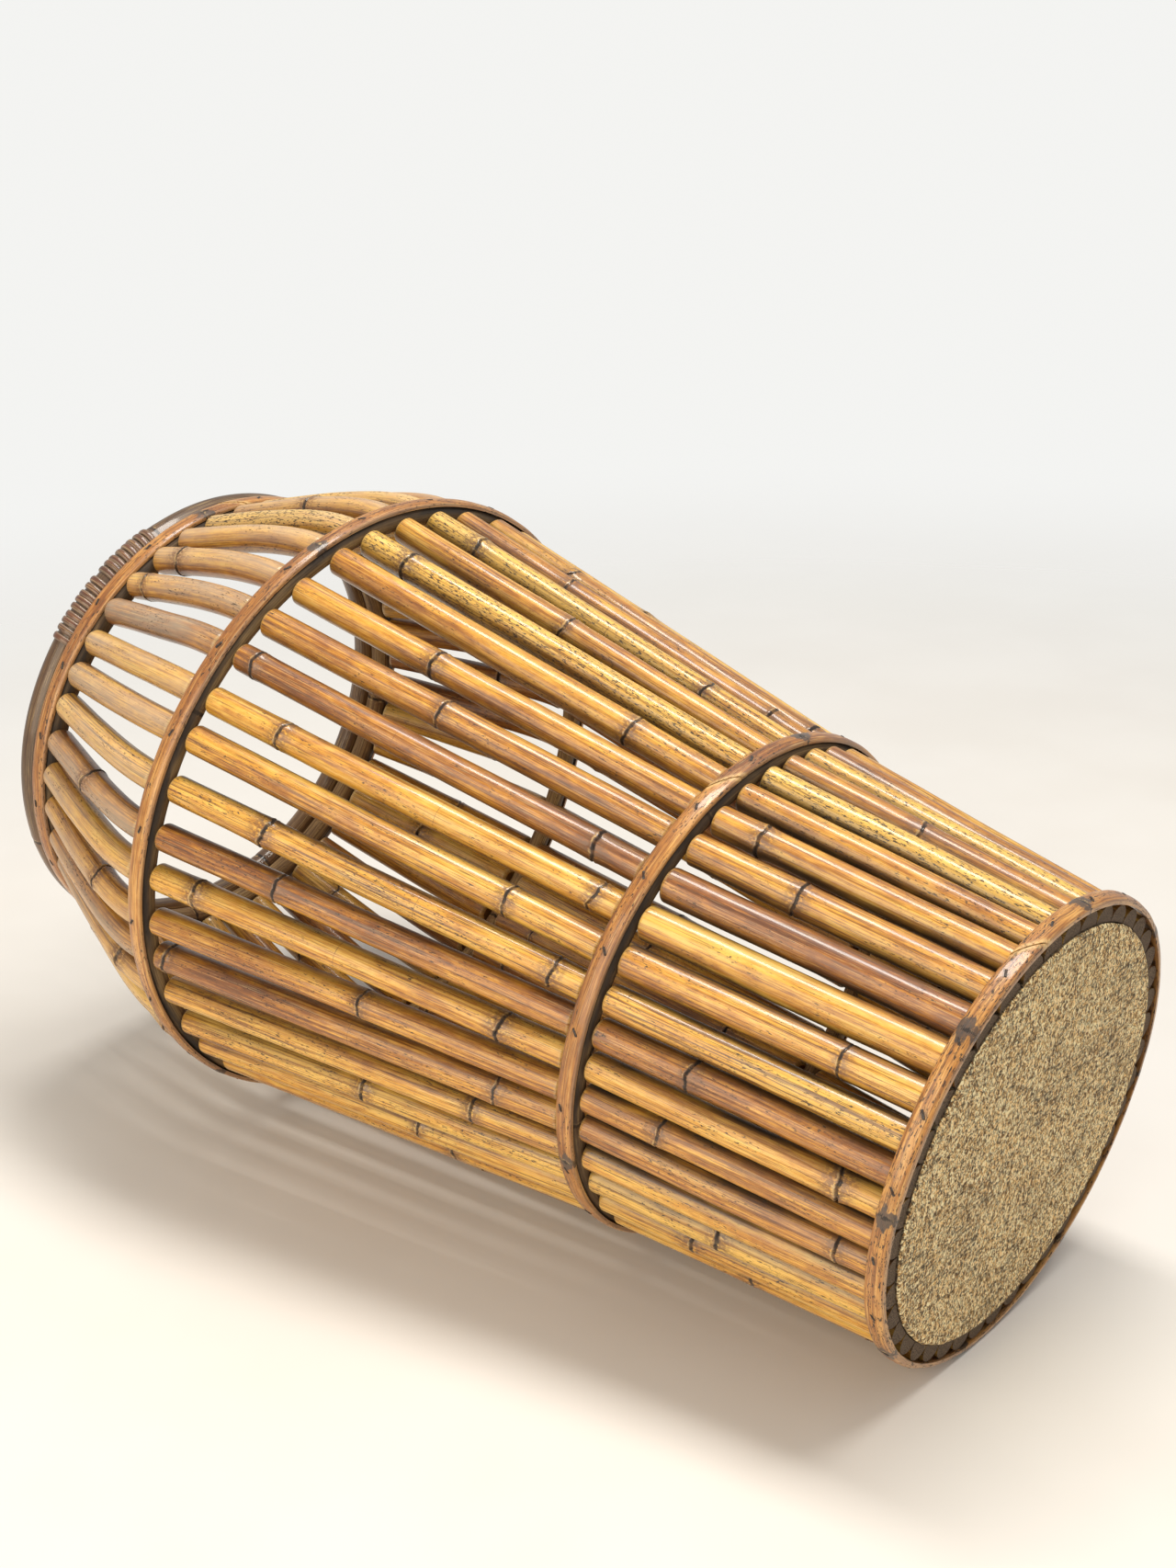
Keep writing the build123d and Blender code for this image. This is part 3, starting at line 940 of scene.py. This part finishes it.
# ---------------------------------------------------------------- materials
class Graph:
    """Short hand for a node material."""

    def __init__(self, name):
        self.material = bpy.data.materials.new(name)
        self.material.use_nodes = True
        self.tree = self.material.node_tree
        self.shader = self.tree.nodes["Principled BSDF"]

    def node(self, kind, inputs=None, **settings):
        node = self.tree.nodes.new(kind)
        for key, value in settings.items():
            setattr(node, key, value)
        for key, value in (inputs or {}).items():
            self.feed(node.inputs[key], value)
        return node

    def feed(self, socket, value):
        if isinstance(value, bpy.types.NodeSocket):
            self.tree.links.new(value, socket)
        else:
            socket.default_value = value

    def attribute(self, name):
        return self.node("ShaderNodeAttribute", attribute_name=name).outputs["Vector"]

    def split(self, vector):
        return self.node("ShaderNodeSeparateXYZ", {0: vector}).outputs

    def math(self, operation, a, b=0.0, c=0.0, clamp=False):
        node = self.node("ShaderNodeMath", operation=operation, use_clamp=clamp)
        self.feed(node.inputs[0], a)
        self.feed(node.inputs[1], b)
        if operation == "MULTIPLY_ADD":
            self.feed(node.inputs[2], c)
        return node.outputs[0]

    def sway(self, value, by, base, clamp=False):
        """A base value moved up and down by a pattern that is 0.5 on average."""
        return self.math("MULTIPLY_ADD", self.math("SUBTRACT", value, 0.5), by, base, clamp)

    def pick(self, share, a, b):
        """The first value where share is 0 and the second where it is 1."""
        return self.math("MULTIPLY_ADD", self.math("SUBTRACT", b, a), share, a)

    def paint(self, colour, share, strength, over):
        """Lays a colour over another, by a share and a strength."""
        return self.mix(self.math("MULTIPLY", share, strength), colour, over)

    def stretch(self, vector, scale, place=(0, 0, 0), turn=(0, 0, 0)):
        setting = {"Vector": vector, "Scale": scale, "Location": place, "Rotation": turn}
        return self.node("ShaderNodeMapping", setting).outputs[0]

    def noise(self, vector, scale, detail=3.0, rough=0.55, place=(0, 0, 0), turn=(0, 0, 0)):
        vector = self.stretch(vector, scale, place, turn)
        setting = {"Vector": vector, "Scale": 1.0, "Detail": detail, "Roughness": rough}
        return self.node("ShaderNodeTexNoise", setting).outputs["Fac"]

    def cells(self, vector, scale, feature="F1", place=(0, 0, 0), turn=(0, 0, 0)):
        setting = {"Vector": self.stretch(vector, scale, place, turn), "Scale": 1.0}
        return self.node("ShaderNodeTexVoronoi", setting, feature=feature).outputs

    def band(self, value, low, high, out_low=0.0, out_high=1.0):
        node = self.node("ShaderNodeMapRange", interpolation_type="SMOOTHSTEP")
        for index, item in enumerate((value, low, high, out_low, out_high)):
            self.feed(node.inputs[index], item)
        return node.outputs[0]

    def ramp(self, value, stops):
        node = self.node("ShaderNodeValToRGB", {0: value})
        bar = node.color_ramp
        while len(bar.elements) < len(stops):
            bar.elements.new(0.5)
        for element, (place, colour) in zip(bar.elements, stops):
            element.position = place
            element.color = (*colour, 1.0)
        return node.outputs[0]

    def mix(self, share, a, b, blend="MIX"):
        node = self.node("ShaderNodeMix", data_type="RGBA", blend_type=blend)
        node.clamp_factor = True
        self.feed(node.inputs[0], share)
        self.feed(node.inputs[6], a if not isinstance(a, tuple) else (*a, 1.0))
        self.feed(node.inputs[7], b if not isinstance(b, tuple) else (*b, 1.0))
        return node.outputs[2]

    def bump(self, height, distance, strength=1.0, normal=None):
        node = self.node("ShaderNodeBump", {"Height": height})
        node.inputs["Distance"].default_value = distance
        node.inputs["Strength"].default_value = strength
        if normal is not None:
            self.feed(node.inputs["Normal"], normal)
        return node.outputs[0]

    def set(self, **values):
        for key, value in values.items():
            self.feed(self.shader.inputs[key.replace("_", " ")], value)


def cane_material(name, stops, coat, rough, stain_depth, blotch=False):
    """Varnished cane: streaks, flecks, dark node cracks with painted highlights, stains, rubbed ends
    with painted highlights, painted shade.
    """
    g = Graph(name)
    cane = g.attribute("cane")
    node_gap, end_gap, spot_gap = g.split(g.attribute("marks"))[:3]
    warmth, streaky, grey = g.split(g.attribute("tone"))[:3]
    mottled, pale, shade_and_darkening = g.split(g.attribute("wear_and_shade"))[:3]

    fibre = g.noise(cane, (2600, 2600, 42), 4.0, 0.6)
    streak = g.noise(cane, (820, 820, 8), 4.0, 0.6)
    cloud = g.noise(cane, (95, 95, 17), 4.0, 0.6)
    drift = g.noise(cane, (60, 60, 5), 2.0, 0.5, place=(3, 1, 7))
    fleck = g.noise(cane, (1500, 1500, 380), 3.0, 0.6, place=(1, 5, 2))
    patch = g.noise(cane, (120, 120, 26), 3.0, 0.6, place=(9, 4, 3))

    freckle = g.noise(cane, (430, 430, 120), 4.0, 0.65, place=(8, 1, 6))
    warm = g.sway(cloud, 1.2, warmth)
    warm = g.sway(streak, 1.1, warm)
    warm = g.sway(freckle, 0.9, warm)
    warm = g.sway(drift, 0.7, warm)
    colour = g.ramp(warm, stops)

    # long dark streaks and fine fibre lines
    lines = g.band(streak, 0.52, 0.63)
    colour = g.paint(colour, lines, g.math("MULTIPLY_ADD", streaky, 0.70, 0.10), DEEP)
    thin = g.band(fibre, 0.53, 0.64)
    colour = g.paint(colour, thin, g.math("MULTIPLY_ADD", streaky, 0.40, 0.52), DEEP)
    light = g.band(fibre, 0.47, 0.32)
    colour = g.paint(colour, light, 0.40, LIP)
    colour = g.paint(colour, pale, g.band(cloud, 0.30, 0.62, 0.35, 1.0), WORN)

    # specks gather in patches, thickly on the mottled canes
    gather = g.math("MULTIPLY_ADD", mottled, 0.16, patch)
    thick = g.math("MULTIPLY_ADD", mottled, 0.050, fleck)
    specks = g.math("MULTIPLY", g.band(thick, 0.60, 0.65), g.band(gather, 0.48, 0.62))
    colour = g.paint(colour, specks, 0.9, BLACK)

    # nodes: a broken dark crack in a brown stain, with a painted highlight on the lip at one side
    waver = g.noise(cane, (900, 900, 600), 3.0, 0.6, place=(4, 4, 1))
    broken = g.noise(cane, (260, 260, 90), 2.0, 0.6, place=(6, 2, 9))
    if blotch:
        smear = g.noise(cane, (300, 300, 120), 4.0, 0.6, place=(2, 8, 5))
        reach = g.math("MULTIPLY_ADD", smear, 0.014, -0.0028)
        away = g.math("SUBTRACT", reach, g.math("ABSOLUTE", node_gap))
        stain = g.band(away, -0.0006, 0.0006)
        colour = g.paint(colour, stain, 0.92, BLOTCH)
    around = g.band(g.math("ABSOLUTE", node_gap), 0.0095, 0.0010)
    around = g.math("MULTIPLY", around, g.band(waver, 0.34, 0.56))
    colour = g.paint(colour, around, stain_depth, STAIN)
    offset = g.sway(waver, 0.0017, node_gap)
    # a painted highlight: a pale stripe on the lip at one side of the crack
    lips = g.band(g.math("ABSOLUTE", g.math("SUBTRACT", offset, 0.0011)), 0.0007, 0.0002)
    colour = g.paint(colour, lips, g.band(broken, 0.45, 0.62, 0.0, 0.45), LIP)
    crack = g.band(g.math("ABSOLUTE", offset), 0.00118, 0.00050)
    crack = g.math("MULTIPLY", crack, g.band(broken, 0.66, 0.44, 0.50, 1.0))
    colour = g.paint(colour, crack, 0.95, BLACK)

    # ends: a pale crescent where the edge is rubbed, which also stands as a painted highlight on the
    # rounding, and grime on the end face
    rubbed_and_lit_rim = g.band(end_gap, 0.0022, 0.0004)
    rubbed_and_lit_rim = g.math("MULTIPLY", rubbed_and_lit_rim, g.band(end_gap, -0.0012, 0.0001))
    rubbed_and_lit_rim = g.math("MULTIPLY", rubbed_and_lit_rim, g.band(waver, 0.30, 0.55))
    colour = g.paint(colour, rubbed_and_lit_rim, 0.55, LIP)
    face = g.band(end_gap, -0.0002, -0.0012)
    colour = g.paint(colour, face, 0.75, DEEP)

    # staples leave a small dark halo
    halo = g.band(spot_gap, 0.0026, 0.0010)
    colour = g.paint(colour, halo, g.band(waver, 0.35, 0.6, 0.1, 0.6), BLACK)

    # painted shade on the flanks between canes, on the rings under the hoops and on the hoops' inner
    # faces; darker too near the ends and round the foot
    colour = g.paint(colour, shade_and_darkening, g.band(patch, 0.30, 0.60, 0.55, 1.0), SHADE_TINT)

    # sawn, unvarnished face
    pores = g.noise(cane, (1900, 1900, 1900), 3.0, 0.7)
    raw = g.ramp(
        pores,
        [(0.32, (0.014, 0.009, 0.006)), (0.52, (0.100, 0.062, 0.034)),
         (0.70, (0.290, 0.195, 0.110))],
    )
    colour = g.mix(grey, colour, raw)

    gloss = g.sway(cloud, 0.35, rough)
    gloss = g.math("MULTIPLY_ADD", specks, 0.25, gloss)
    gloss = g.math("MULTIPLY_ADD", crack, 0.4, gloss)
    gloss = g.math("MULTIPLY_ADD", pale, 0.25, gloss)
    gloss = g.math("MULTIPLY_ADD", grey, 0.45, gloss, clamp=True)
    coated = g.math("MULTIPLY_ADD", pale, -0.5, coat)
    coated = g.math("MULTIPLY_ADD", grey, -1.0, coated, clamp=True)
    height = g.math("MULTIPLY_ADD", fibre, 0.5, g.math("MULTIPLY", streak, 0.5))
    height = g.math("MULTIPLY_ADD", specks, -0.5, height)
    height = g.math("MULTIPLY_ADD", around, g.math("SUBTRACT", waver, 0.5), height)
    height = g.math("MULTIPLY_ADD", g.math("MULTIPLY", grey, pores), 2.0, height)
    normal = g.bump(height, 0.00016, 0.6)
    g.set(Base_Color=colour, Roughness=gloss, Normal=normal)
    g.set(Coat_Weight=coated, Coat_Roughness=0.09)
    return g.material


def chipboard_material():
    """Pressed chips lying in several directions, with pits, glue and a stain."""
    g = Graph("chipboard")
    place = g.node("ShaderNodeTexCoord").outputs["Object"]
    side = g.split(g.attribute("tone"))[2]
    bend = g.noise(place, (260, 260, 260), 2.0, 0.5, place=(5, 1, 2))
    flow = g.node("ShaderNodeVectorMath", operation="MULTIPLY_ADD")
    g.feed(flow.inputs[0], bend)
    g.feed(flow.inputs[1], (0.004, 0.004, 0.0))
    g.feed(flow.inputs[2], place)
    bent = flow.outputs[0]
    chips = []
    gaps = []
    for index, turn in enumerate((0.25, 1.30, 2.35)):
        found = g.cells(bent, (1120, 480, 700), "F1", (index, 2, 1), (0, 0, turn))
        chips.append(g.split(found["Color"])[0])
        gaps.append(found["Distance"])
    chooser = g.noise(place, (420, 420, 420), 2.0, 0.6)
    first = g.band(chooser, 0.47, 0.50)
    second = g.band(chooser, 0.55, 0.57)
    chip = g.pick(second, g.pick(first, chips[0], chips[1]), chips[2])
    gap = g.pick(second, g.pick(first, gaps[0], gaps[1]), gaps[2])
    dust = g.noise(place, (1500, 1500, 1500), 4.0, 0.7)
    broad = g.noise(place, (22, 22, 22), 4.0, 0.6)
    mixed = g.sway(dust, 1.3, chip)
    colour = g.ramp(
        mixed,
        [(0.10, (0.130, 0.062, 0.020)), (0.26, (0.600, 0.345, 0.115)),
         (0.46, (0.970, 0.640, 0.260)), (0.72, (1.000, 0.850, 0.500))],
    )
    crevice = g.band(gap, 0.52, 0.76)
    colour = g.paint(colour, crevice, 0.85, (0.060, 0.032, 0.012))
    colour = g.mix(g.band(broad, 0.42, 0.70, 0.0, 0.14), colour, (0.26, 0.17, 0.085))
    pits = g.noise(place, (300, 300, 300), 3.0, 0.6, place=(7, 3, 1))
    pit = g.band(pits, 0.62, 0.68)
    colour = g.paint(colour, pit, 0.85, (0.035, 0.022, 0.013))
    scuff = g.noise(place, (110, 620, 300), 3.0, 0.6, (3, 9, 1), (0, 0, 0.8))
    scuff = g.math("MULTIPLY", g.band(scuff, 0.53, 0.60), g.band(broad, 0.47, 0.58))
    colour = g.paint(colour, scuff, 0.7, (0.05, 0.032, 0.018))
    colour = g.paint(colour, side, 0.80, (0.05, 0.032, 0.020))
    height = g.math("MULTIPLY_ADD", dust, 0.4, chip)
    height = g.math("MULTIPLY_ADD", crevice, -0.8, height)
    height = g.math("MULTIPLY_ADD", pit, -0.8, height)
    normal = g.bump(height, 0.0006, 0.9)
    g.set(Base_Color=colour, Normal=normal)
    g.set(Roughness=g.math("MULTIPLY_ADD", dust, 0.2, 0.75))
    return g.material


def steel_material():
    """Tarnished wire with a little rust."""
    g = Graph("staple_steel")
    place = g.node("ShaderNodeTexCoord").outputs["Object"]
    rust = g.noise(place, (900, 900, 900), 4.0, 0.65)
    fine = g.noise(place, (3500, 3500, 3500), 2.0, 0.6)
    colour = g.ramp(rust, [(0.3, (0.10, 0.095, 0.09)), (0.5, (0.045, 0.035, 0.03)),
                           (0.7, (0.06, 0.025, 0.012))])
    g.set(Base_Color=colour, Normal=g.bump(fine, 0.00008, 0.6))
    g.set(Metallic=0.55, Roughness=g.band(rust, 0.3, 0.7, 0.35, 0.7))
    return g.material


# colours of the canes, palest to darkest
GOLD_STOPS = [
    (0.00, (0.760, 0.455, 0.080)),
    (0.26, (0.660, 0.322, 0.032)),
    (0.50, (0.460, 0.182, 0.015)),
    (0.74, (0.275, 0.088, 0.009)),
    (1.00, (0.130, 0.038, 0.007)),
]
HOOP_STOPS = [
    (0.00, (0.600, 0.300, 0.070)),
    (0.35, (0.400, 0.160, 0.028)),
    (0.70, (0.220, 0.072, 0.014)),
    (1.00, (0.105, 0.034, 0.010)),
]
RING_STOPS = [
    (0.00, (0.420, 0.270, 0.100)),
    (0.50, (0.240, 0.135, 0.050)),
    (1.00, (0.100, 0.055, 0.026)),
]
ROD_STOPS = [
    (0.00, (0.215, 0.105, 0.028)),
    (0.50, (0.115, 0.054, 0.016)),
    (1.00, (0.050, 0.024, 0.009)),
]
BINDING_STOPS = [
    (0.00, (0.260, 0.100, 0.036)),
    (0.50, (0.140, 0.046, 0.018)),
    (1.00, (0.060, 0.020, 0.010)),
]
DEEP = (0.095, 0.036, 0.011)
STAIN = (0.150, 0.062, 0.020)
LIP = (0.760, 0.530, 0.220)
WORN = (0.500, 0.410, 0.290)
BLACK = (0.016, 0.010, 0.007)
BLOTCH = (0.048, 0.038, 0.031)
# brown painted as shade, and as the darker colour near the ends
SHADE_TINT = (0.028, 0.018, 0.011)

POLE_CANE = cane_material("pole_cane", GOLD_STOPS, 0.60, 0.42, 0.85)
HOOP_CANE = cane_material("hoop_cane", HOOP_STOPS, 0.45, 0.42, 0.3, blotch=True)
RING_CANE = cane_material("ring_cane", RING_STOPS, 0.0, 0.75, 0.6)
ROD_CANE = cane_material("mouth_rod", ROD_STOPS, 0.45, 0.42, 0.6)
BINDING_CANE = cane_material("binding_cane", BINDING_STOPS, 0.5, 0.4, 0.0)
CHIPBOARD = chipboard_material()
STAPLE_STEEL = steel_material()

# ---------------------------------------------------------------- the pieces
for number in range(1, POLE_COUNT + 1):
    pole_line(number)

WAIST_RING_R = WAIST_POLE_R + RING_OUT
SHOULDER_RING_R = SHOULDER_POLE_R + RING_OUT
RIM_RING_R = RIM_POLE_R + RIM_RING_OUT
WAIST_IN = WAIST_RING_R + RING_R + CLEAR
SHOULDER_IN = SHOULDER_RING_R + RING_R + CLEAR
RIM_IN = RIM_RING_R + RIM_RING_THICK_R + CLEAR
BASE_IN_LOW = BASE_POLE_R + LOWER_SLOPE * BASE_HOOP_Z + 0.5 * POLE_D + POLE_D_SPREAD
BASE_IN_HIGH = BASE_IN_LOW + LOWER_SLOPE * BASE_HOOP_W

ring_piece("cane_waist_ring", WAIST_RING_R, WAIST_Z, RING_R, spaced_nodes(20.0, 75.0),
           (0.5, 0.5, 0.0), 31, RING_CANE, "waist_ring")
ring_piece("cane_shoulder_ring", SHOULDER_RING_R, SHOULDER_Z, RING_R, spaced_nodes(45.0, 85.0),
           (0.35, 0.5, 0.0), 32, RING_CANE, "shoulder_ring")
ring_piece("cane_rim_ring", RIM_RING_R, RIM_Z, RIM_RING_THICK_R, spaced_nodes(10.0, 90.0),
           (0.5, 0.5, 0.0), 33, RING_CANE, "rim_ring")
ring_piece("cane_rim_rod", ROD_CENTRE_R, ROD_Z, ROD_R, spaced_nodes(70.0, 90.0),
           (0.5, 0.4, 0.0), 34, ROD_CANE, "rim_rod")

hoop_piece("cane_base_hoop", "base_hoop", (BASE_IN_LOW, BASE_IN_HIGH), BASE_HOOP_Z,
           BASE_HOOP_W, BASE_HOOP_T, LOWER_SCARF_AT,
           spaced_nodes(10.0, 44.0), 0.95, (0.35, 0.5, 0.0), 41)
hoop_piece("cane_waist_hoop", "waist_hoop", (WAIST_IN, WAIST_IN), WAIST_Z - 0.5 * HOOP_W,
           HOOP_W, HOOP_T, LOWER_SCARF_AT, spaced_nodes(40.0, 120.0), 0.55,
           (0.45, 0.4, 0.0), 42)
hoop_piece("cane_shoulder_hoop", "shoulder_hoop", (SHOULDER_IN, SHOULDER_IN),
           SHOULDER_Z - 0.5 * HOOP_W, HOOP_W, HOOP_T, SHOULDER_SCARF_AT,
           spaced_nodes(10.0, 120.0), 0.5, (0.40, 0.3, 0.0), 43)
hoop_piece("cane_rim_hoop", "rim_hoop", (RIM_IN, RIM_IN), RIM_HOOP_Z - 0.5 * HOOP_W,
           HOOP_W, HOOP_T, RIM_SCARF_AT, spaced_nodes(20.0, 120.0), 0.5,
           (0.45, 0.3, 0.0), 44)

staple_piece("base_hoop", 0.5 * (BASE_IN_LOW + BASE_IN_HIGH) + BASE_HOOP_T,
             BASE_HOOP_Z + 0.5 * BASE_HOOP_W)
staple_piece("waist_hoop", WAIST_IN + HOOP_T, WAIST_Z)
staple_piece("shoulder_hoop", SHOULDER_IN + HOOP_T, SHOULDER_Z)
staple_piece("rim_hoop", RIM_IN + HOOP_T, RIM_HOOP_Z)

binding_piece()
board_piece()

# ---------------------------------------------------------------- stage, light, camera
LYING_TILT = math.radians(7.6)
FLOOR_POINT = Vector((0.0, 0.1068, 0.007))
FLOOR_NORMAL = Vector((0.0, -math.cos(LYING_TILT), math.sin(LYING_TILT)))

# the camera looks up at the base from one side, and is rolled, so the stand is seen lying down
CAMERA_AIM = Vector((0.0275, -0.0445, 0.269))
CAMERA_DISTANCE = 1.048
CAMERA_AZIMUTH = math.radians(212.2)
CAMERA_ELEVATION = math.radians(-33.1)
CAMERA_ROLL = math.radians(64.5)
LENS_MM = 50.64
# distances in metres over which the floor fades into the backdrop
FLOOR_FADE = (0.55, 1.60)


def floor_material():
    """Pale floor, seen only from the object's side, that fades into the backdrop."""
    g = Graph("floor")
    place = g.node("ShaderNodeTexCoord").outputs["Object"]
    soft = g.noise(place, (6, 6, 6), 3.0)
    colour = g.mix(g.band(soft, 0.3, 0.7), (0.70, 0.67, 0.63), (0.73, 0.705, 0.67))
    g.set(Base_Color=colour, Roughness=0.55)
    clear = g.node("ShaderNodeBsdfTransparent").outputs[0]
    behind = g.node("ShaderNodeNewGeometry").outputs["Backfacing"]
    centred = g.node("ShaderNodeVectorMath", {0: place}, operation="LENGTH")
    fade = g.band(centred.outputs["Value"], FLOOR_FADE[0], FLOOR_FADE[1])
    hidden = g.math("MAXIMUM", behind, fade)
    output = g.tree.nodes["Material Output"]
    blend = g.node("ShaderNodeMixShader", {0: hidden, 2: clear})
    g.tree.links.new(g.shader.outputs[0], blend.inputs[1])
    g.tree.links.new(blend.outputs[0], output.inputs["Surface"])
    return g.material


def stage_plane(name, point, normal, size):
    mesh = bpy.data.meshes.new(name)
    half = 0.5 * size
    corners = [(-half, -half, 0), (half, -half, 0), (half, half, 0), (-half, half, 0)]
    mesh.from_pydata(corners, [], [(0, 1, 2, 3)])
    plane = bpy.data.objects.new(name, mesh)
    plane.rotation_mode = "QUATERNION"
    plane.rotation_quaternion = normal.to_track_quat("Z", "Y")
    plane.location = point
    bpy.context.scene.collection.objects.link(plane)
    mesh.materials.append(FLOOR)
    return plane


FLOOR = floor_material()
stage_plane("floor", FLOOR_POINT, FLOOR_NORMAL, 6.0)


def area_light(name, place, aim, wide, high, watts, colour):
    lamp = bpy.data.lights.new(name, "AREA")
    lamp.shape = "RECTANGLE"
    lamp.size = wide
    lamp.size_y = high
    lamp.energy = watts
    lamp.color = colour
    holder = bpy.data.objects.new(name, lamp)
    holder.location = place
    holder.rotation_mode = "QUATERNION"
    holder.rotation_quaternion = (aim - place).to_track_quat("-Z", "Y")
    bpy.context.scene.collection.objects.link(holder)
    return holder


CAMERA_BACK = Vector((
    math.cos(CAMERA_ELEVATION) * math.cos(CAMERA_AZIMUTH),
    math.cos(CAMERA_ELEVATION) * math.sin(CAMERA_AZIMUTH),
    math.sin(CAMERA_ELEVATION),
))
CAMERA_AHEAD = -CAMERA_BACK
LEVEL_RIGHT = CAMERA_AHEAD.cross(Vector((0.0, 0.0, 1.0))).normalized()
LEVEL_UP = LEVEL_RIGHT.cross(CAMERA_AHEAD)
CAMERA_UP = LEVEL_UP * math.cos(CAMERA_ROLL) + LEVEL_RIGHT * math.sin(CAMERA_ROLL)
CAMERA_RIGHT = CAMERA_AHEAD.cross(CAMERA_UP)
CAMERA_PLACE = CAMERA_AIM + CAMERA_BACK * CAMERA_DISTANCE
MIDDLE = Vector((0.0, 0.0, 0.25))


def seen_from_camera(right, up, back):
    """Place beside the object, in the camera's own directions."""
    return MIDDLE + CAMERA_RIGHT * right + CAMERA_UP * up - CAMERA_AHEAD * back


area_light("key", seen_from_camera(0.25, 1.5, 0.55), MIDDLE, 0.40, 1.4, 30.0, (1.0, 0.96, 0.90))
area_light("fill", seen_from_camera(-0.8, 0.0, 1.1), MIDDLE, 1.2, 1.2, 13.5, (1.0, 0.87, 0.69))

world = bpy.data.worlds.new("studio")
world.use_nodes = True
background = world.node_tree.nodes["Background"]
background.inputs["Color"].default_value = (0.97, 0.97, 0.95, 1.0)
# the backdrop is seen nearly white, and lights the object less
ray = world.node_tree.nodes.new("ShaderNodeLightPath")
strength = world.node_tree.nodes.new("ShaderNodeMapRange")
strength.inputs["To Min"].default_value = 0.55
strength.inputs["To Max"].default_value = 0.93
world.node_tree.links.new(ray.outputs["Is Camera Ray"], strength.inputs["Value"])
world.node_tree.links.new(strength.outputs["Result"], background.inputs["Strength"])
bpy.context.scene.world = world

camera_data = bpy.data.cameras.new("camera")
camera_data.lens = LENS_MM
camera_data.sensor_width = 36.0
camera = bpy.data.objects.new("camera", camera_data)
basis = Matrix((CAMERA_RIGHT, CAMERA_UP, -CAMERA_AHEAD)).transposed()
camera.matrix_world = Matrix.Translation(CAMERA_PLACE) @ basis.to_4x4()
bpy.context.scene.collection.objects.link(camera)
bpy.context.scene.camera = camera
bpy.context.scene.view_settings.view_transform = "Standard"
